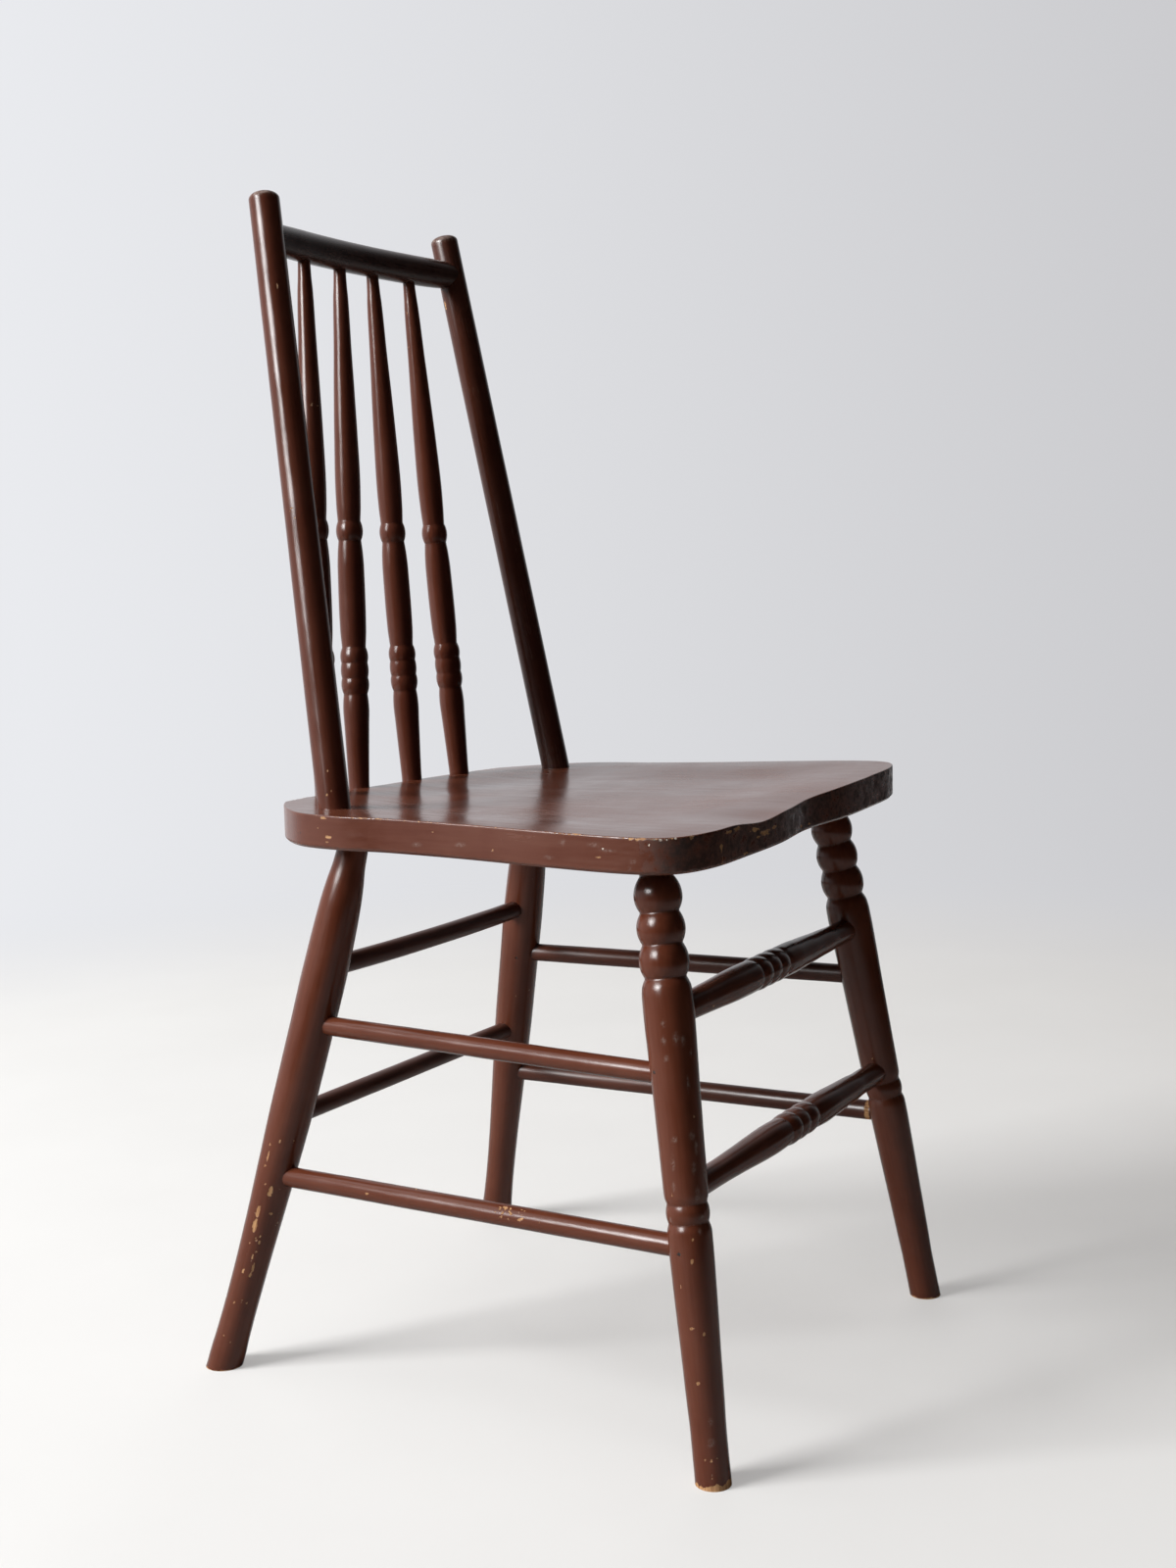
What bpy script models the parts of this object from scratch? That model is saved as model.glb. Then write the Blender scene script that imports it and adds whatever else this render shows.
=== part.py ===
"""A plank-seat kitchen chair: turned legs, dowel stretchers, two back posts, four spindles and a round rail.

Metres, +Z up, standing on z = 0, facing -Y. Right and left are the sitter's: right is -X.
The chair is hand made and old, so its two sides are close to alike but not the same.
"""
import math
from collections import namedtuple

import bmesh
import bpy
from mathutils import Vector

OBJECT_NAME = "peeling_paint_chair"
SIDES = {"right": -1, "left": 1}

# Fits and trims
FIT = 0.0003                    # gap all round and at the end of every glued joint
SHORT_OF_AXIS = 0.0025          # stretcher ends stop this far from the axis of their leg
CLEAR = 0.030                   # how far a cutter runs out past the surface that it opens
MERGE = 0.00001                 # distance at which the vertices of a turned pole become one

# Seat plank
SEAT_HALF_WIDTH = 0.2005
SEAT_FRONT = 0.2085             # from the chair's middle forward to the front edge
SEAT_BACK = 0.1990              # from the chair's middle back to the rear edge
SEAT_UNDERSIDE_HEIGHT = 0.4168  # over the floor, at the chair's middle
SEAT_THICKNESS = 0.0249
SEAT_TILT = 0.0094              # fall of the underside towards the back, metres in a metre
SEAT_WIND_RISE = 0.0055         # twist of the plank: how far it lifts one front corner and drops the other
WIND_CENTRE = 0.0507            # where along the depth the twist is nothing
FRONT_HOLLOW = 0.0055           # how far the front edge runs in at its middle
# Outline points as (inside the half width, inside the front edge), from the middle of the front outwards
FRONT_OUTLINE = ((0.1445, 0.0000), (0.0905, 0.0005), (0.0415, 0.0040), (0.0115, 0.0190),
                 (0.0010, 0.0520), (0.0010, 0.1145), (0.0045, 0.1805))
# Outline points as (inside the half width, inside the rear edge), on to the middle of the back
BACK_OUTLINE = ((0.0040, 0.1640), (-0.0015, 0.1240), (0.0005, 0.0900), (0.0135, 0.0660), (0.0340, 0.0450),
                (0.0600, 0.0270), (0.0995, 0.0100), (0.1535, 0.0010))
OUTLINE_STEPS = 76
BOTTOM_ROUND = 0.0018           # worn round of the lower arris
TOP_ROUND = 0.0010              # crisp upper arris
DISH_DEPTH = 0.0045
DISH_EDGE = 0.93                # share of the way out to the rim at which the dish starts to fall
DISH_FLOOR = 0.50               # share of the way out at which it is at its full depth
REAR_EASE = 0.0050              # how far the top falls away behind the spindles
REAR_EASE_REACH = 0.0260        # how far in from the rim, at the middle of the back
REAR_EASE_FROM = 0.0330         # the ease starts where the rim comes this near to the rear edge
# Front scoops as (across from the middle, half width, depth)
FRONT_SCOOPS = ((-0.034, 0.110, 0.0027), (-0.090, 0.046, 0.0028))
SCOOP_REACH = 0.080             # how far a scoop runs in from the front edge
TOP_RINGS = (0.95, 0.86, 0.75, 0.62, 0.46, 0.24)
UNDERSIDE_RINGS = (0.70, 0.35)

# Legs: heads are set in from the seat's edges, feet splay out from the heads
LEG_SOCKET_DEPTH = 0.0160
FRONT_HEAD_FROM_SIDE = {"right": 0.0488, "left": 0.0481}
FRONT_HEAD_FROM_EDGE = {"right": 0.0522, "left": 0.0587}
FRONT_SPLAY_OUT = {"right": 0.0396, "left": 0.0381}
FRONT_SPLAY_FORWARD = {"right": 0.0562, "left": 0.0690}
REAR_HEAD_FROM_SIDE = {"right": 0.0720, "left": 0.0729}
REAR_HEAD_FROM_EDGE = {"right": 0.0828, "left": 0.0816}
REAR_SPLAY_OUT = {"right": 0.0643, "left": 0.0661}
REAR_SPLAY_BACK = {"right": 0.1002, "left": 0.0975}
REAR_LEG_BOW = {"right": -0.0040, "left": 0.0}      # sideways bend at mid length, along Y
FLOOR_TRIM = 0.0120             # legs are turned this much too long, then cut level with the floor
LEG_STEPS = 18
REAR_LEG_STEPS = 18

# Front leg, from the floor: (distance along the axis, radius)
FRONT_LEG_FOOT = ((0.034, 0.0123), (0.055, 0.0129), (0.095, 0.0138), (0.136, 0.01485), (0.160, 0.0153),
                  (0.1695, 0.0152))
LEG_RING_LOW = 0.1755           # groove under the leg's single ring
LEG_RING_HIGH = 0.1885
LEG_RING_GROOVE = 0.0137
LEG_RING_CROWN = 0.01495
# Swell from that ring up to the shoulder under the balls: (share of the way, radius)
FRONT_LEG_SWELL = ((0.040, 0.0151), (0.290, 0.01575), (0.580, 0.01645), (0.815, 0.0173), (0.930, 0.0176))
FRONT_FOOT_RADIUS = 0.0124
BALLS_BELOW_SEAT = {"right": 0.0786, "left": 0.0820}   # lowest neck of the three balls, under the seat
# Shoulder below that neck: (distance below it, radius)
LEG_SHOULDER = ((0.0125, 0.0175), (0.0065, 0.0169), (0.0025, 0.0155))
BALL_NECKS = (0.0141, 0.0137, 0.0133, 0.0115)
BALL_CROWNS = (0.0173, 0.0168, 0.0167)
BALL_PITCHES = (0.0230, 0.0218, 0.0245)
FRONT_TENON_RADIUS = 0.0115

# Rear leg: (share of its length from the floor to the seat, radius)
REAR_FOOT_RADIUS = 0.01375
REAR_LEG_SWELL = ((0.028, 0.01375), (0.055, 0.0133), (0.120, 0.0129), (0.194, 0.01315), (0.291, 0.01415),
                  (0.388, 0.0155), (0.485, 0.0166), (0.555, 0.0169), (0.650, 0.0171), (0.728, 0.0174),
                  (0.776, 0.01715), (0.825, 0.0167), (0.873, 0.0158), (0.908, 0.0145), (0.944, 0.01255),
                  (0.970, 0.01195))
REAR_TENON_RADIUS = 0.0114

# Back posts
POST_STEPS = 18
POST_FROM_SIDE = {"right": 0.0406, "left": 0.0398}
POST_FROM_BACK = {"right": 0.0878, "left": 0.0853}
POST_LEAN_IN = {"right": 0.0431, "left": 0.0391}
POST_LEAN_BACK = {"right": 0.0778, "left": 0.0754}
BACK_RISE = 0.4637              # from the seat's top, at a post, to the post's top
POST_SHORT = {"right": 0.0013, "left": 0.0}         # how much shorter each post stands than that
POST_SOCKET_DEPTH = 0.0145
POST_BASE_RADIUS = {"right": 0.01240, "left": 0.01215}
POST_TOP_RADIUS = {"right": 0.01180, "left": 0.01160}
# Domed top: (distance below the summit, share of the post's radius)
POST_DOME = ((0.0062, 1.00), (0.0046, 0.985), (0.0030, 0.90), (0.0016, 0.74), (0.0006, 0.47))

# Crest rail, between the posts' axes
RAIL_STEPS = 18
RAIL_BELOW_TOP = {"right": 0.0342, "left": 0.0342}
RAIL_BOW = 0.0098               # how far its middle stands back
RAIL_RADIUS = 0.01215
RAIL_END_RADIUS = 0.0113
RAIL_TAPER = 0.045              # length over which the rail narrows to its ends
RAIL_TENON_RADIUS = 0.0065
RAIL_TENON_ROOT = 0.022         # how far from the post's axis the tenon starts inside the rail

# Spindles, from the sitter's right to left
SPINDLE_STEPS = 12
SPINDLE_BASE_SHARES = (0.208, 0.388, 0.610, 0.788)     # of the way from the right post to the left one
SPINDLE_TOP_SHARES = (0.203, 0.404, 0.580, 0.772)      # of the way along the rail
SPINDLE_FROM_BACK = (0.0273, 0.0163, 0.0182, 0.0279)
SPINDLE_SOCKET_DEPTH = 0.0140
SPINDLE_BASE_RADIUS = 0.0085
SPINDLE_SWELL = ((0.017, 0.00895), (0.034, 0.00955), (0.052, 0.0102), (0.063, 0.01065), (0.070, 0.0104))
SPINDLE_RING_GROOVES = ((0.0763, 0.0097), (0.0893, 0.01055), (0.1017, 0.01055), (0.1142, 0.00965))
SPINDLE_RING_CROWN = 0.0113
SPINDLE_WAIST = ((0.129, 0.0106), (0.150, 0.0109), (0.179, 0.01075), (0.191, 0.0102))
SPINDLE_BEAD_LOW = 0.2010
SPINDLE_BEAD_HIGH = 0.2165
SPINDLE_BEAD_GROOVE = 0.0092
SPINDLE_BEAD_CROWN = 0.0109
# Upper taper: (distance below the crest rail's axis, radius)
SPINDLE_TAPER = ((0.2005, 0.0099), (0.182, 0.0102), (0.144, 0.0095), (0.108, 0.0084), (0.073, 0.00715),
                 (0.044, 0.0064), (0.033, 0.0060), (0.024, 0.0054))
SPINDLE_TIP_RADIUS = 0.0050
SPINDLE_SHORT_OF_RAIL_AXIS = 0.0020

# Stretchers: heights of their two ends on the legs' axes
ROD_STEPS = 14
SIDE_UPPER_HEIGHT = {"right": (0.2711, 0.2707), "left": (0.2713, 0.2745)}     # rear leg, front leg
SIDE_LOWER_HEIGHT = {"right": (0.1527, 0.1556), "left": (0.1540, 0.1577)}
SIDE_UPPER_RADIUS = {"right": 0.0074, "left": 0.0077}
SIDE_LOWER_RADIUS = {"right": 0.00785, "left": 0.00805}
LOOSE_PULL = 0.0030             # the left lower one has crept this far out of the front leg
REAR_UPPER_HEIGHT = (0.3141, 0.3141)                # right leg, left leg
REAR_LOWER_HEIGHT = (0.1980, 0.1967)
REAR_UPPER_RADIUS = 0.0078
REAR_LOWER_RADIUS = 0.00755
REAR_UPPER_SAG = 0.0020
FRONT_UPPER_HEIGHT = (0.3112, 0.3140)
FRONT_LOWER_HEIGHT = (0.1927, 0.1939)
FRONT_ROD_STEPS = 16
# Turned front stretchers: place of the three rings' middle, measured from the right leg's axis
FRONT_UPPER_RINGS = 0.1532
FRONT_LOWER_RINGS = 0.1757
# Half profiles outwards from the outermost groove: (distance out, radius), first to the right, then the left
FRONT_UPPER_SWELLS = (((0.0050, 0.01195), (0.015, 0.01206), (0.028, 0.0120), (0.042, 0.0117), (0.060, 0.0110),
                       (0.080, 0.0104), (0.100, 0.0099)),
                      ((0.0060, 0.0121), (0.020, 0.01216), (0.036, 0.0116), (0.055, 0.0110), (0.072, 0.0103),
                       (0.090, 0.0099)))
FRONT_LOWER_SWELLS = (((0.0060, 0.0112), (0.020, 0.0115), (0.034, 0.01125), (0.055, 0.0105), (0.076, 0.0097),
                       (0.102, 0.0091)),
                      ((0.0080, 0.0115), (0.022, 0.01195), (0.034, 0.01175), (0.049, 0.0112), (0.064, 0.0107),
                       (0.083, 0.0102)))
FRONT_UPPER_GROOVES = ((-0.0232, 0.0115), (-0.0077, 0.0117), (0.0078, 0.0117), (0.0233, 0.0115))
FRONT_LOWER_GROOVES = ((-0.0237, 0.0108), (-0.0077, 0.0112), (0.0072, 0.0110), (0.0243, 0.0106))
FRONT_UPPER_CROWN = 0.0125
FRONT_LOWER_CROWN = 0.0120
FRONT_UPPER_END_RADIUS = (0.0094, 0.0094)
FRONT_LOWER_END_RADIUS = (0.0090, 0.0094)

# Brads: headless nails through a leg into the tenon of a side stretcher, driven just under the surface
BRAD_RADIUS = 0.0011
BRAD_LENGTH = 0.0120
BRAD_SUNK = 0.0005
BRAD_REACH = 0.0070             # the point of the tenon that a brad aims at, out from the leg's axis
BRAD_STEPS = 10
# Each brad: leg, side, stretcher, height over the stretcher's axis, heading round the leg it is driven at
BRADS = (("front", "right", "upper", 0.0048, 153.5), ("front", "right", "lower", 0.0004, 175.0),
         ("rear", "left", "upper", -0.0030, 203.3))

Line = namedtuple("Line", "start end bend")
NO_BEND = Vector((0.0, 0.0, 0.0))

PAINT_ROUGHNESS = 0.38
LEG_BROWN = (0.052, 0.022, 0.017)
BACK_BROWN = (0.045, 0.021, 0.017)
RAIL_BROWN = (0.022, 0.017, 0.016)
SEAT_BROWN = (0.110, 0.078, 0.066)
BRAD_STEEL = (0.200, 0.150, 0.120)


def clear_scene():
    for obj in list(bpy.data.objects):
        bpy.data.objects.remove(obj, do_unlink=True)


def new_collection(name):
    collection = bpy.data.collections.new(name)
    bpy.context.scene.collection.children.link(collection)
    return collection


def painted(obj, color, roughness=PAINT_ROUGHNESS, metallic=0.0):
    material = bpy.data.materials.new(obj.name + "_finish")
    material.use_nodes = True
    shader = material.node_tree.nodes["Principled BSDF"]
    shader.inputs["Base Color"].default_value = (*color, 1.0)
    shader.inputs["Roughness"].default_value = roughness
    shader.inputs["Metallic"].default_value = metallic
    obj.data.materials.clear()
    obj.data.materials.append(material)


def length_of(line):
    return (line.end - line.start).length


def direction_of(line):
    return (line.end - line.start).normalized()


def point_on(line, share):
    """Point of a line's axis at a share of its length, with the line's bend."""
    return line.start.lerp(line.end, share) + line.bend * (4.0 * share * (1.0 - share))


def point_at_height(line, height):
    """Point of a leg's or post's axis at a height above the floor."""
    return point_on(line, (height - line.start.z) / (line.end.z - line.start.z))


def turned(name, line, stations, steps):
    """A solid turned round a line. Stations are (distance from the line's start, radius), going up."""
    outer = [(radius, 0.0, distance) for distance, radius in reversed(stations)]
    profile = [(0.0, 0.0, outer[0][2])] + outer + [(0.0, 0.0, outer[-1][2])]
    mesh = bpy.data.meshes.new(name)
    mesh.from_pydata(profile, [(i, i + 1) for i in range(len(profile) - 1)], [])
    obj = bpy.data.objects.new(name, mesh)
    obj.rotation_mode = "QUATERNION"
    obj.rotation_quaternion = direction_of(line).to_track_quat("Z", "Y")
    obj.location = line.start
    pieces.objects.link(obj)
    screw = obj.modifiers.new("Turning", "SCREW")
    screw.axis = "Z"
    screw.angle = 2.0 * math.pi
    screw.steps = steps
    screw.render_steps = steps
    screw.use_merge_vertices = True
    screw.merge_threshold = MERGE
    if line.bend.length > 0.0:
        bend_along(obj, line)
    return obj


def made_mesh(obj):
    """Replace an object's mesh by its evaluated one, with its modifiers used up."""
    bpy.context.view_layer.update()
    evaluated = obj.evaluated_get(bpy.context.evaluated_depsgraph_get())
    mesh = bpy.data.meshes.new_from_object(evaluated)
    obj.modifiers.clear()
    obj.data = mesh


def bend_along(obj, line):
    """Bend a turned solid sideways, most at the middle of its line and not at all at the two ends."""
    made_mesh(obj)
    sideways = obj.rotation_quaternion.inverted() @ line.bend
    length = length_of(line)
    for vertex in obj.data.vertices:
        share = vertex.co.z / length
        vertex.co += sideways * (4.0 * share * (1.0 - share))


def as_cutter(obj):
    pieces.objects.unlink(obj)
    cutters.objects.link(obj)
    obj.hide_render = True
    obj.display_type = "WIRE"
    return obj


def bore(name, line, low, high, radius, steps):
    """A cutter for the socket of a turned end: the same line, wider by the fit."""
    return as_cutter(turned(name, line, ((low, radius + FIT), (high, radius + FIT)), steps))


def combine(target, other, operation):
    modifier = target.modifiers.new(operation.title() + " " + other.name, "BOOLEAN")
    modifier.operation = operation
    modifier.solver = "EXACT"
    modifier.object = other


def cut(target, cutter):
    combine(target, cutter, "DIFFERENCE")


def radius_at(stations, distance):
    """Radius of a turned profile at a distance along its axis."""
    for (low, low_radius), (high, high_radius) in zip(stations, stations[1:]):
        if low <= distance <= high:
            return low_radius + (high_radius - low_radius) * (distance - low) / (high - low)
    return stations[-1][1]


def bead(low, high, crown, count):
    """Stations of a round bead between two grooves, each given as (distance, radius), grooves left out."""
    half = (high[0] - low[0]) / 2.0
    rise = crown - (low[1] + high[1]) / 2.0
    arc = (half * half + rise * rise) / (2.0 * rise)
    stations = []
    for index in range(1, count + 1):
        share = index / (count + 1)
        across = (2.0 * share - 1.0) * half
        height = math.sqrt(arc * arc - across * across) - (arc - rise)
        stations.append((low[0] + share * (high[0] - low[0]), low[1] + share * (high[1] - low[1]) + height))
    return stations


def smooth(share):
    share = min(max(share, 0.0), 1.0)
    return share * share * (3.0 - 2.0 * share)


# Seat


def underside_height(x, y):
    twist = SEAT_WIND_RISE * (x / SEAT_HALF_WIDTH) * (WIND_CENTRE - y) / SEAT_FRONT
    return SEAT_UNDERSIDE_HEIGHT - SEAT_TILT * y + twist


def blank_top_height(x, y):
    return underside_height(x, y) + SEAT_THICKNESS


def seat_outline():
    """Closed outline, even steps round a smooth curve through the outline's points."""
    half = [(0.0, -SEAT_FRONT + FRONT_HOLLOW)]
    half += [(SEAT_HALF_WIDTH - inside, -SEAT_FRONT + behind) for inside, behind in FRONT_OUTLINE]
    half += [(SEAT_HALF_WIDTH - inside, SEAT_BACK - before) for inside, before in BACK_OUTLINE]
    half += [(0.0, SEAT_BACK)]
    corners = half + [(-x, y) for x, y in reversed(half[1:-1])]
    fine = []
    samples = 16
    for index in range(len(corners)):
        before, here, after, beyond = (Vector(corners[(index + k) % len(corners)]) for k in (-1, 0, 1, 2))
        for sample in range(samples):
            t = sample / samples
            fine.append(0.5 * (2.0 * here + (after - before) * t
                               + (2.0 * before - 5.0 * here + 4.0 * after - beyond) * t * t
                               + (3.0 * here - before - 3.0 * after + beyond) * t ** 3))
    travelled = [0.0]
    for here, after in zip(fine, fine[1:] + fine[:1]):
        travelled.append(travelled[-1] + (after - here).length)
    outline = []
    place = 0
    for step in range(OUTLINE_STEPS):
        wanted = travelled[-1] * step / OUTLINE_STEPS
        while travelled[place + 1] < wanted:
            place += 1
        share = (wanted - travelled[place]) / (travelled[place + 1] - travelled[place])
        outline.append(fine[place].lerp(fine[(place + 1) % len(fine)], share))
    return outline


def top_height(rim, share):
    """Height of the finished top at a share of the way from the middle out to a rim point."""
    x, y = rim.x * share, rim.y * share
    height = blank_top_height(x, y)
    height -= DISH_DEPTH * (1.0 - smooth((share - DISH_FLOOR) / (DISH_EDGE - DISH_FLOOR)))
    fade = 1.0 - smooth((y + SEAT_FRONT) / SCOOP_REACH)
    for across, half_width, depth in FRONT_SCOOPS:
        height -= depth * fade * smooth(1.0 - abs(x - across) / half_width)
    from_rim = (1.0 - share) * rim.length
    backness = 1.0 - (SEAT_BACK - rim.y) / REAR_EASE_FROM
    if backness > 0.0:
        height -= REAR_EASE * smooth(2.0 * backness) * (1.0 - smooth(from_rim / (REAR_EASE_REACH * backness)))
    return height


def make_seat():
    """The plank as a loft of closed rings: underside, worn lower arris, side, crisp upper arris, top."""
    outline = seat_outline()
    model = bmesh.new()
    rings = []

    def ring_at(inset, height_of):
        rings.append([model.verts.new((rim.x * (1.0 - inset / rim.length), rim.y * (1.0 - inset / rim.length),
                                       height_of(rim, 1.0 - inset / rim.length))) for rim in outline])

    def share_ring(share, height_of):
        rings.append([model.verts.new((rim.x * share, rim.y * share, height_of(rim, share))) for rim in outline])

    def under(rim, share):
        return underside_height(rim.x * share, rim.y * share)

    for share in reversed(UNDERSIDE_RINGS):
        share_ring(share, under)
    ring_at(BOTTOM_ROUND, under)
    ring_at(BOTTOM_ROUND * 0.3, lambda rim, share: under(rim, share) + BOTTOM_ROUND * 0.3)
    ring_at(0.0, lambda rim, share: under(rim, share) + BOTTOM_ROUND)
    ring_at(0.0, lambda rim, share: top_height(rim, share) - TOP_ROUND)
    ring_at(TOP_ROUND, top_height)
    for share in TOP_RINGS:
        share_ring(share, top_height)
    count = len(outline)
    for lower, upper in zip(rings, rings[1:]):
        for index in range(count):
            following = (index + 1) % count
            model.faces.new((lower[index], lower[following], upper[following], upper[index]))
    bottom_middle = model.verts.new((0.0, 0.0, underside_height(0.0, 0.0)))
    top_middle = model.verts.new((0.0, 0.0, top_height(outline[0], 0.0)))
    for index in range(count):
        following = (index + 1) % count
        model.faces.new((rings[0][following], rings[0][index], bottom_middle))
        model.faces.new((rings[-1][index], rings[-1][following], top_middle))
    mesh = bpy.data.meshes.new("seat")
    model.to_mesh(mesh)
    model.free()
    seat = bpy.data.objects.new("seat", mesh)
    pieces.objects.link(seat)
    painted(seat, SEAT_BROWN, 0.30)
    return seat


# Legs


def leg_line(end, side):
    sign = SIDES[side]
    if end == "front":
        head_x = sign * (SEAT_HALF_WIDTH - FRONT_HEAD_FROM_SIDE[side])
        head_y = -SEAT_FRONT + FRONT_HEAD_FROM_EDGE[side]
        foot_x = head_x + sign * FRONT_SPLAY_OUT[side]
        foot_y = head_y - FRONT_SPLAY_FORWARD[side]
        bend = NO_BEND
    else:
        head_x = sign * (SEAT_HALF_WIDTH - REAR_HEAD_FROM_SIDE[side])
        head_y = SEAT_BACK - REAR_HEAD_FROM_EDGE[side]
        foot_x = head_x + sign * REAR_SPLAY_OUT[side]
        foot_y = head_y + REAR_SPLAY_BACK[side]
        bend = Vector((0.0, REAR_LEG_BOW[side], 0.0))
    return Line(Vector((foot_x, foot_y, 0.0)), Vector((head_x, head_y, underside_height(head_x, head_y))), bend)


def front_leg_stations(line, side):
    """Foot, ring, swell, shoulder, three balls and the straight head that goes into the seat."""
    length = length_of(line)
    neck = length - BALLS_BELOW_SEAT[side]
    ring_low = (LEG_RING_LOW, LEG_RING_GROOVE)
    ring_high = (LEG_RING_HIGH, LEG_RING_GROOVE)
    stations = [(-FLOOR_TRIM, FRONT_FOOT_RADIUS), *FRONT_LEG_FOOT, ring_low]
    stations += bead(ring_low, ring_high, LEG_RING_CROWN, 3)
    shoulder = neck - LEG_SHOULDER[0][0]
    stations += [ring_high]
    stations += [(LEG_RING_HIGH + share * (shoulder - LEG_RING_HIGH), radius) for share, radius in FRONT_LEG_SWELL]
    stations += [(neck - below, radius) for below, radius in LEG_SHOULDER]
    low = (neck, BALL_NECKS[0])
    for pitch, radius, crown in zip(BALL_PITCHES, BALL_NECKS[1:], BALL_CROWNS):
        high = (low[0] + pitch, radius)
        stations += [low, *bead(low, high, crown, 4)]
        low = high
    stations += [low, (length + LEG_SOCKET_DEPTH, FRONT_TENON_RADIUS)]
    return stations


def rear_leg_stations(line):
    length = length_of(line)
    stations = [(-FLOOR_TRIM, REAR_FOOT_RADIUS)]
    stations += [(share * length, radius) for share, radius in REAR_LEG_SWELL]
    stations += [(length, REAR_TENON_RADIUS), (length + LEG_SOCKET_DEPTH, REAR_TENON_RADIUS)]
    return stations


def make_floor_cutter():
    reach = SEAT_FRONT + SEAT_BACK
    model = bmesh.new()
    bmesh.ops.create_cube(model, size=2.0 * reach)
    mesh = bpy.data.meshes.new("floor_cutter")
    model.to_mesh(mesh)
    model.free()
    cutter = bpy.data.objects.new("floor_cutter", mesh)
    cutter.location = (0.0, 0.0, -reach)
    pieces.objects.link(cutter)
    return as_cutter(cutter)


def leg_stations(end, side):
    line = leg_line(end, side)
    return front_leg_stations(line, side) if end == "front" else rear_leg_stations(line)


def make_leg(end, side, seat, floor):
    name = end + "_leg_" + side
    line = leg_line(end, side)
    if end == "front":
        radius, steps = FRONT_TENON_RADIUS, LEG_STEPS
    else:
        radius, steps = REAR_TENON_RADIUS, REAR_LEG_STEPS
    leg = turned(name, line, leg_stations(end, side), steps)
    painted(leg, LEG_BROWN)
    cut(leg, floor)
    length = length_of(line)
    cut(seat, bore(name + "_socket", line, length - CLEAR, length + LEG_SOCKET_DEPTH + FIT, radius, steps))
    return leg, line


# Stretchers


def rod_line(first, first_height, second, second_height, bend=NO_BEND):
    return Line(point_at_height(first, first_height), point_at_height(second, second_height), bend)


def seat_rod_in(legs, line, name, radii, steps, short=(SHORT_OF_AXIS, SHORT_OF_AXIS)):
    """Cut the two blind sockets that a stretcher's ends go into."""
    length = length_of(line)
    cut(legs[0], bore(name + "_socket_1", line, short[0] - FIT, short[0] + CLEAR, radii[0], steps))
    cut(legs[1], bore(name + "_socket_2", line, length - short[1] - CLEAR, length - short[1] + FIT, radii[1],
                      steps))


def make_dowel(name, legs, line, radius, short=(SHORT_OF_AXIS, SHORT_OF_AXIS)):
    length = length_of(line)
    middle = length / 2.0
    stations = ((short[0], radius), (middle / 2.0, radius), (middle, radius), (middle * 1.5, radius),
                (length - short[1], radius))
    rod = turned(name, line, stations, ROD_STEPS)
    painted(rod, LEG_BROWN)
    seat_rod_in(legs, line, name, (radius, radius), ROD_STEPS, short)
    return rod


def make_ring_stretcher(name, legs, line, middle, grooves, crown, swells, ends):
    """A front stretcher: three rings near the middle, a swell on each side of them, tapered ends."""
    length = length_of(line)
    right, left = middle + grooves[0][0], middle + grooves[-1][0]
    stations = [(SHORT_OF_AXIS, ends[0]), (right - swells[0][-1][0] - CLEAR / 2.0, ends[0])]
    stations += [(right - out, radius) for out, radius in reversed(swells[0])]
    places = [(middle + away, radius) for away, radius in grooves]
    for low, high in zip(places, places[1:]):
        stations += [low, *bead(low, high, crown, 3)]
    stations += [places[-1]]
    stations += [(left + out, radius) for out, radius in swells[1]]
    stations += [(left + swells[1][-1][0] + CLEAR / 2.0, ends[1]), (length - SHORT_OF_AXIS, ends[1])]
    rod = turned(name, line, stations, FRONT_ROD_STEPS)
    painted(rod, LEG_BROWN)
    seat_rod_in(legs, line, name, ends, FRONT_ROD_STEPS)
    return rod


# Back


def post_line(side):
    sign = SIDES[side]
    x = sign * (SEAT_HALF_WIDTH - POST_FROM_SIDE[side])
    y = SEAT_BACK - POST_FROM_BACK[side]
    base = Vector((x, y, blank_top_height(x, y)))
    top = Vector((x - sign * POST_LEAN_IN[side], y + POST_LEAN_BACK[side], base.z + BACK_RISE - POST_SHORT[side]))
    return Line(base, top, NO_BEND)


def post_stations(side):
    length = length_of(post_line(side))
    base_radius, top_radius = POST_BASE_RADIUS[side], POST_TOP_RADIUS[side]
    middle_radius = (base_radius + top_radius) / 2.0
    stations = [(-POST_SOCKET_DEPTH, base_radius), (0.0, base_radius), (length / 2.0, middle_radius)]
    stations += [(length - below, top_radius * share) for below, share in POST_DOME]
    return stations


def make_post(side, seat):
    name = "back_post_" + side
    line = post_line(side)
    post = turned(name, line, post_stations(side) + [(length_of(line), 0.0)], POST_STEPS)
    painted(post, BACK_BROWN)
    cut(seat, bore(name + "_socket", line, -POST_SOCKET_DEPTH - FIT, CLEAR, POST_BASE_RADIUS[side], POST_STEPS))
    return post, line


def rail_line(post_lines):
    ends = []
    for side in SIDES:
        line = post_lines[side]
        ends.append(point_on(line, 1.0 - RAIL_BELOW_TOP[side] / (line.end.z - line.start.z)))
    return Line(ends[0], ends[1], Vector((0.0, RAIL_BOW, 0.0)))


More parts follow.
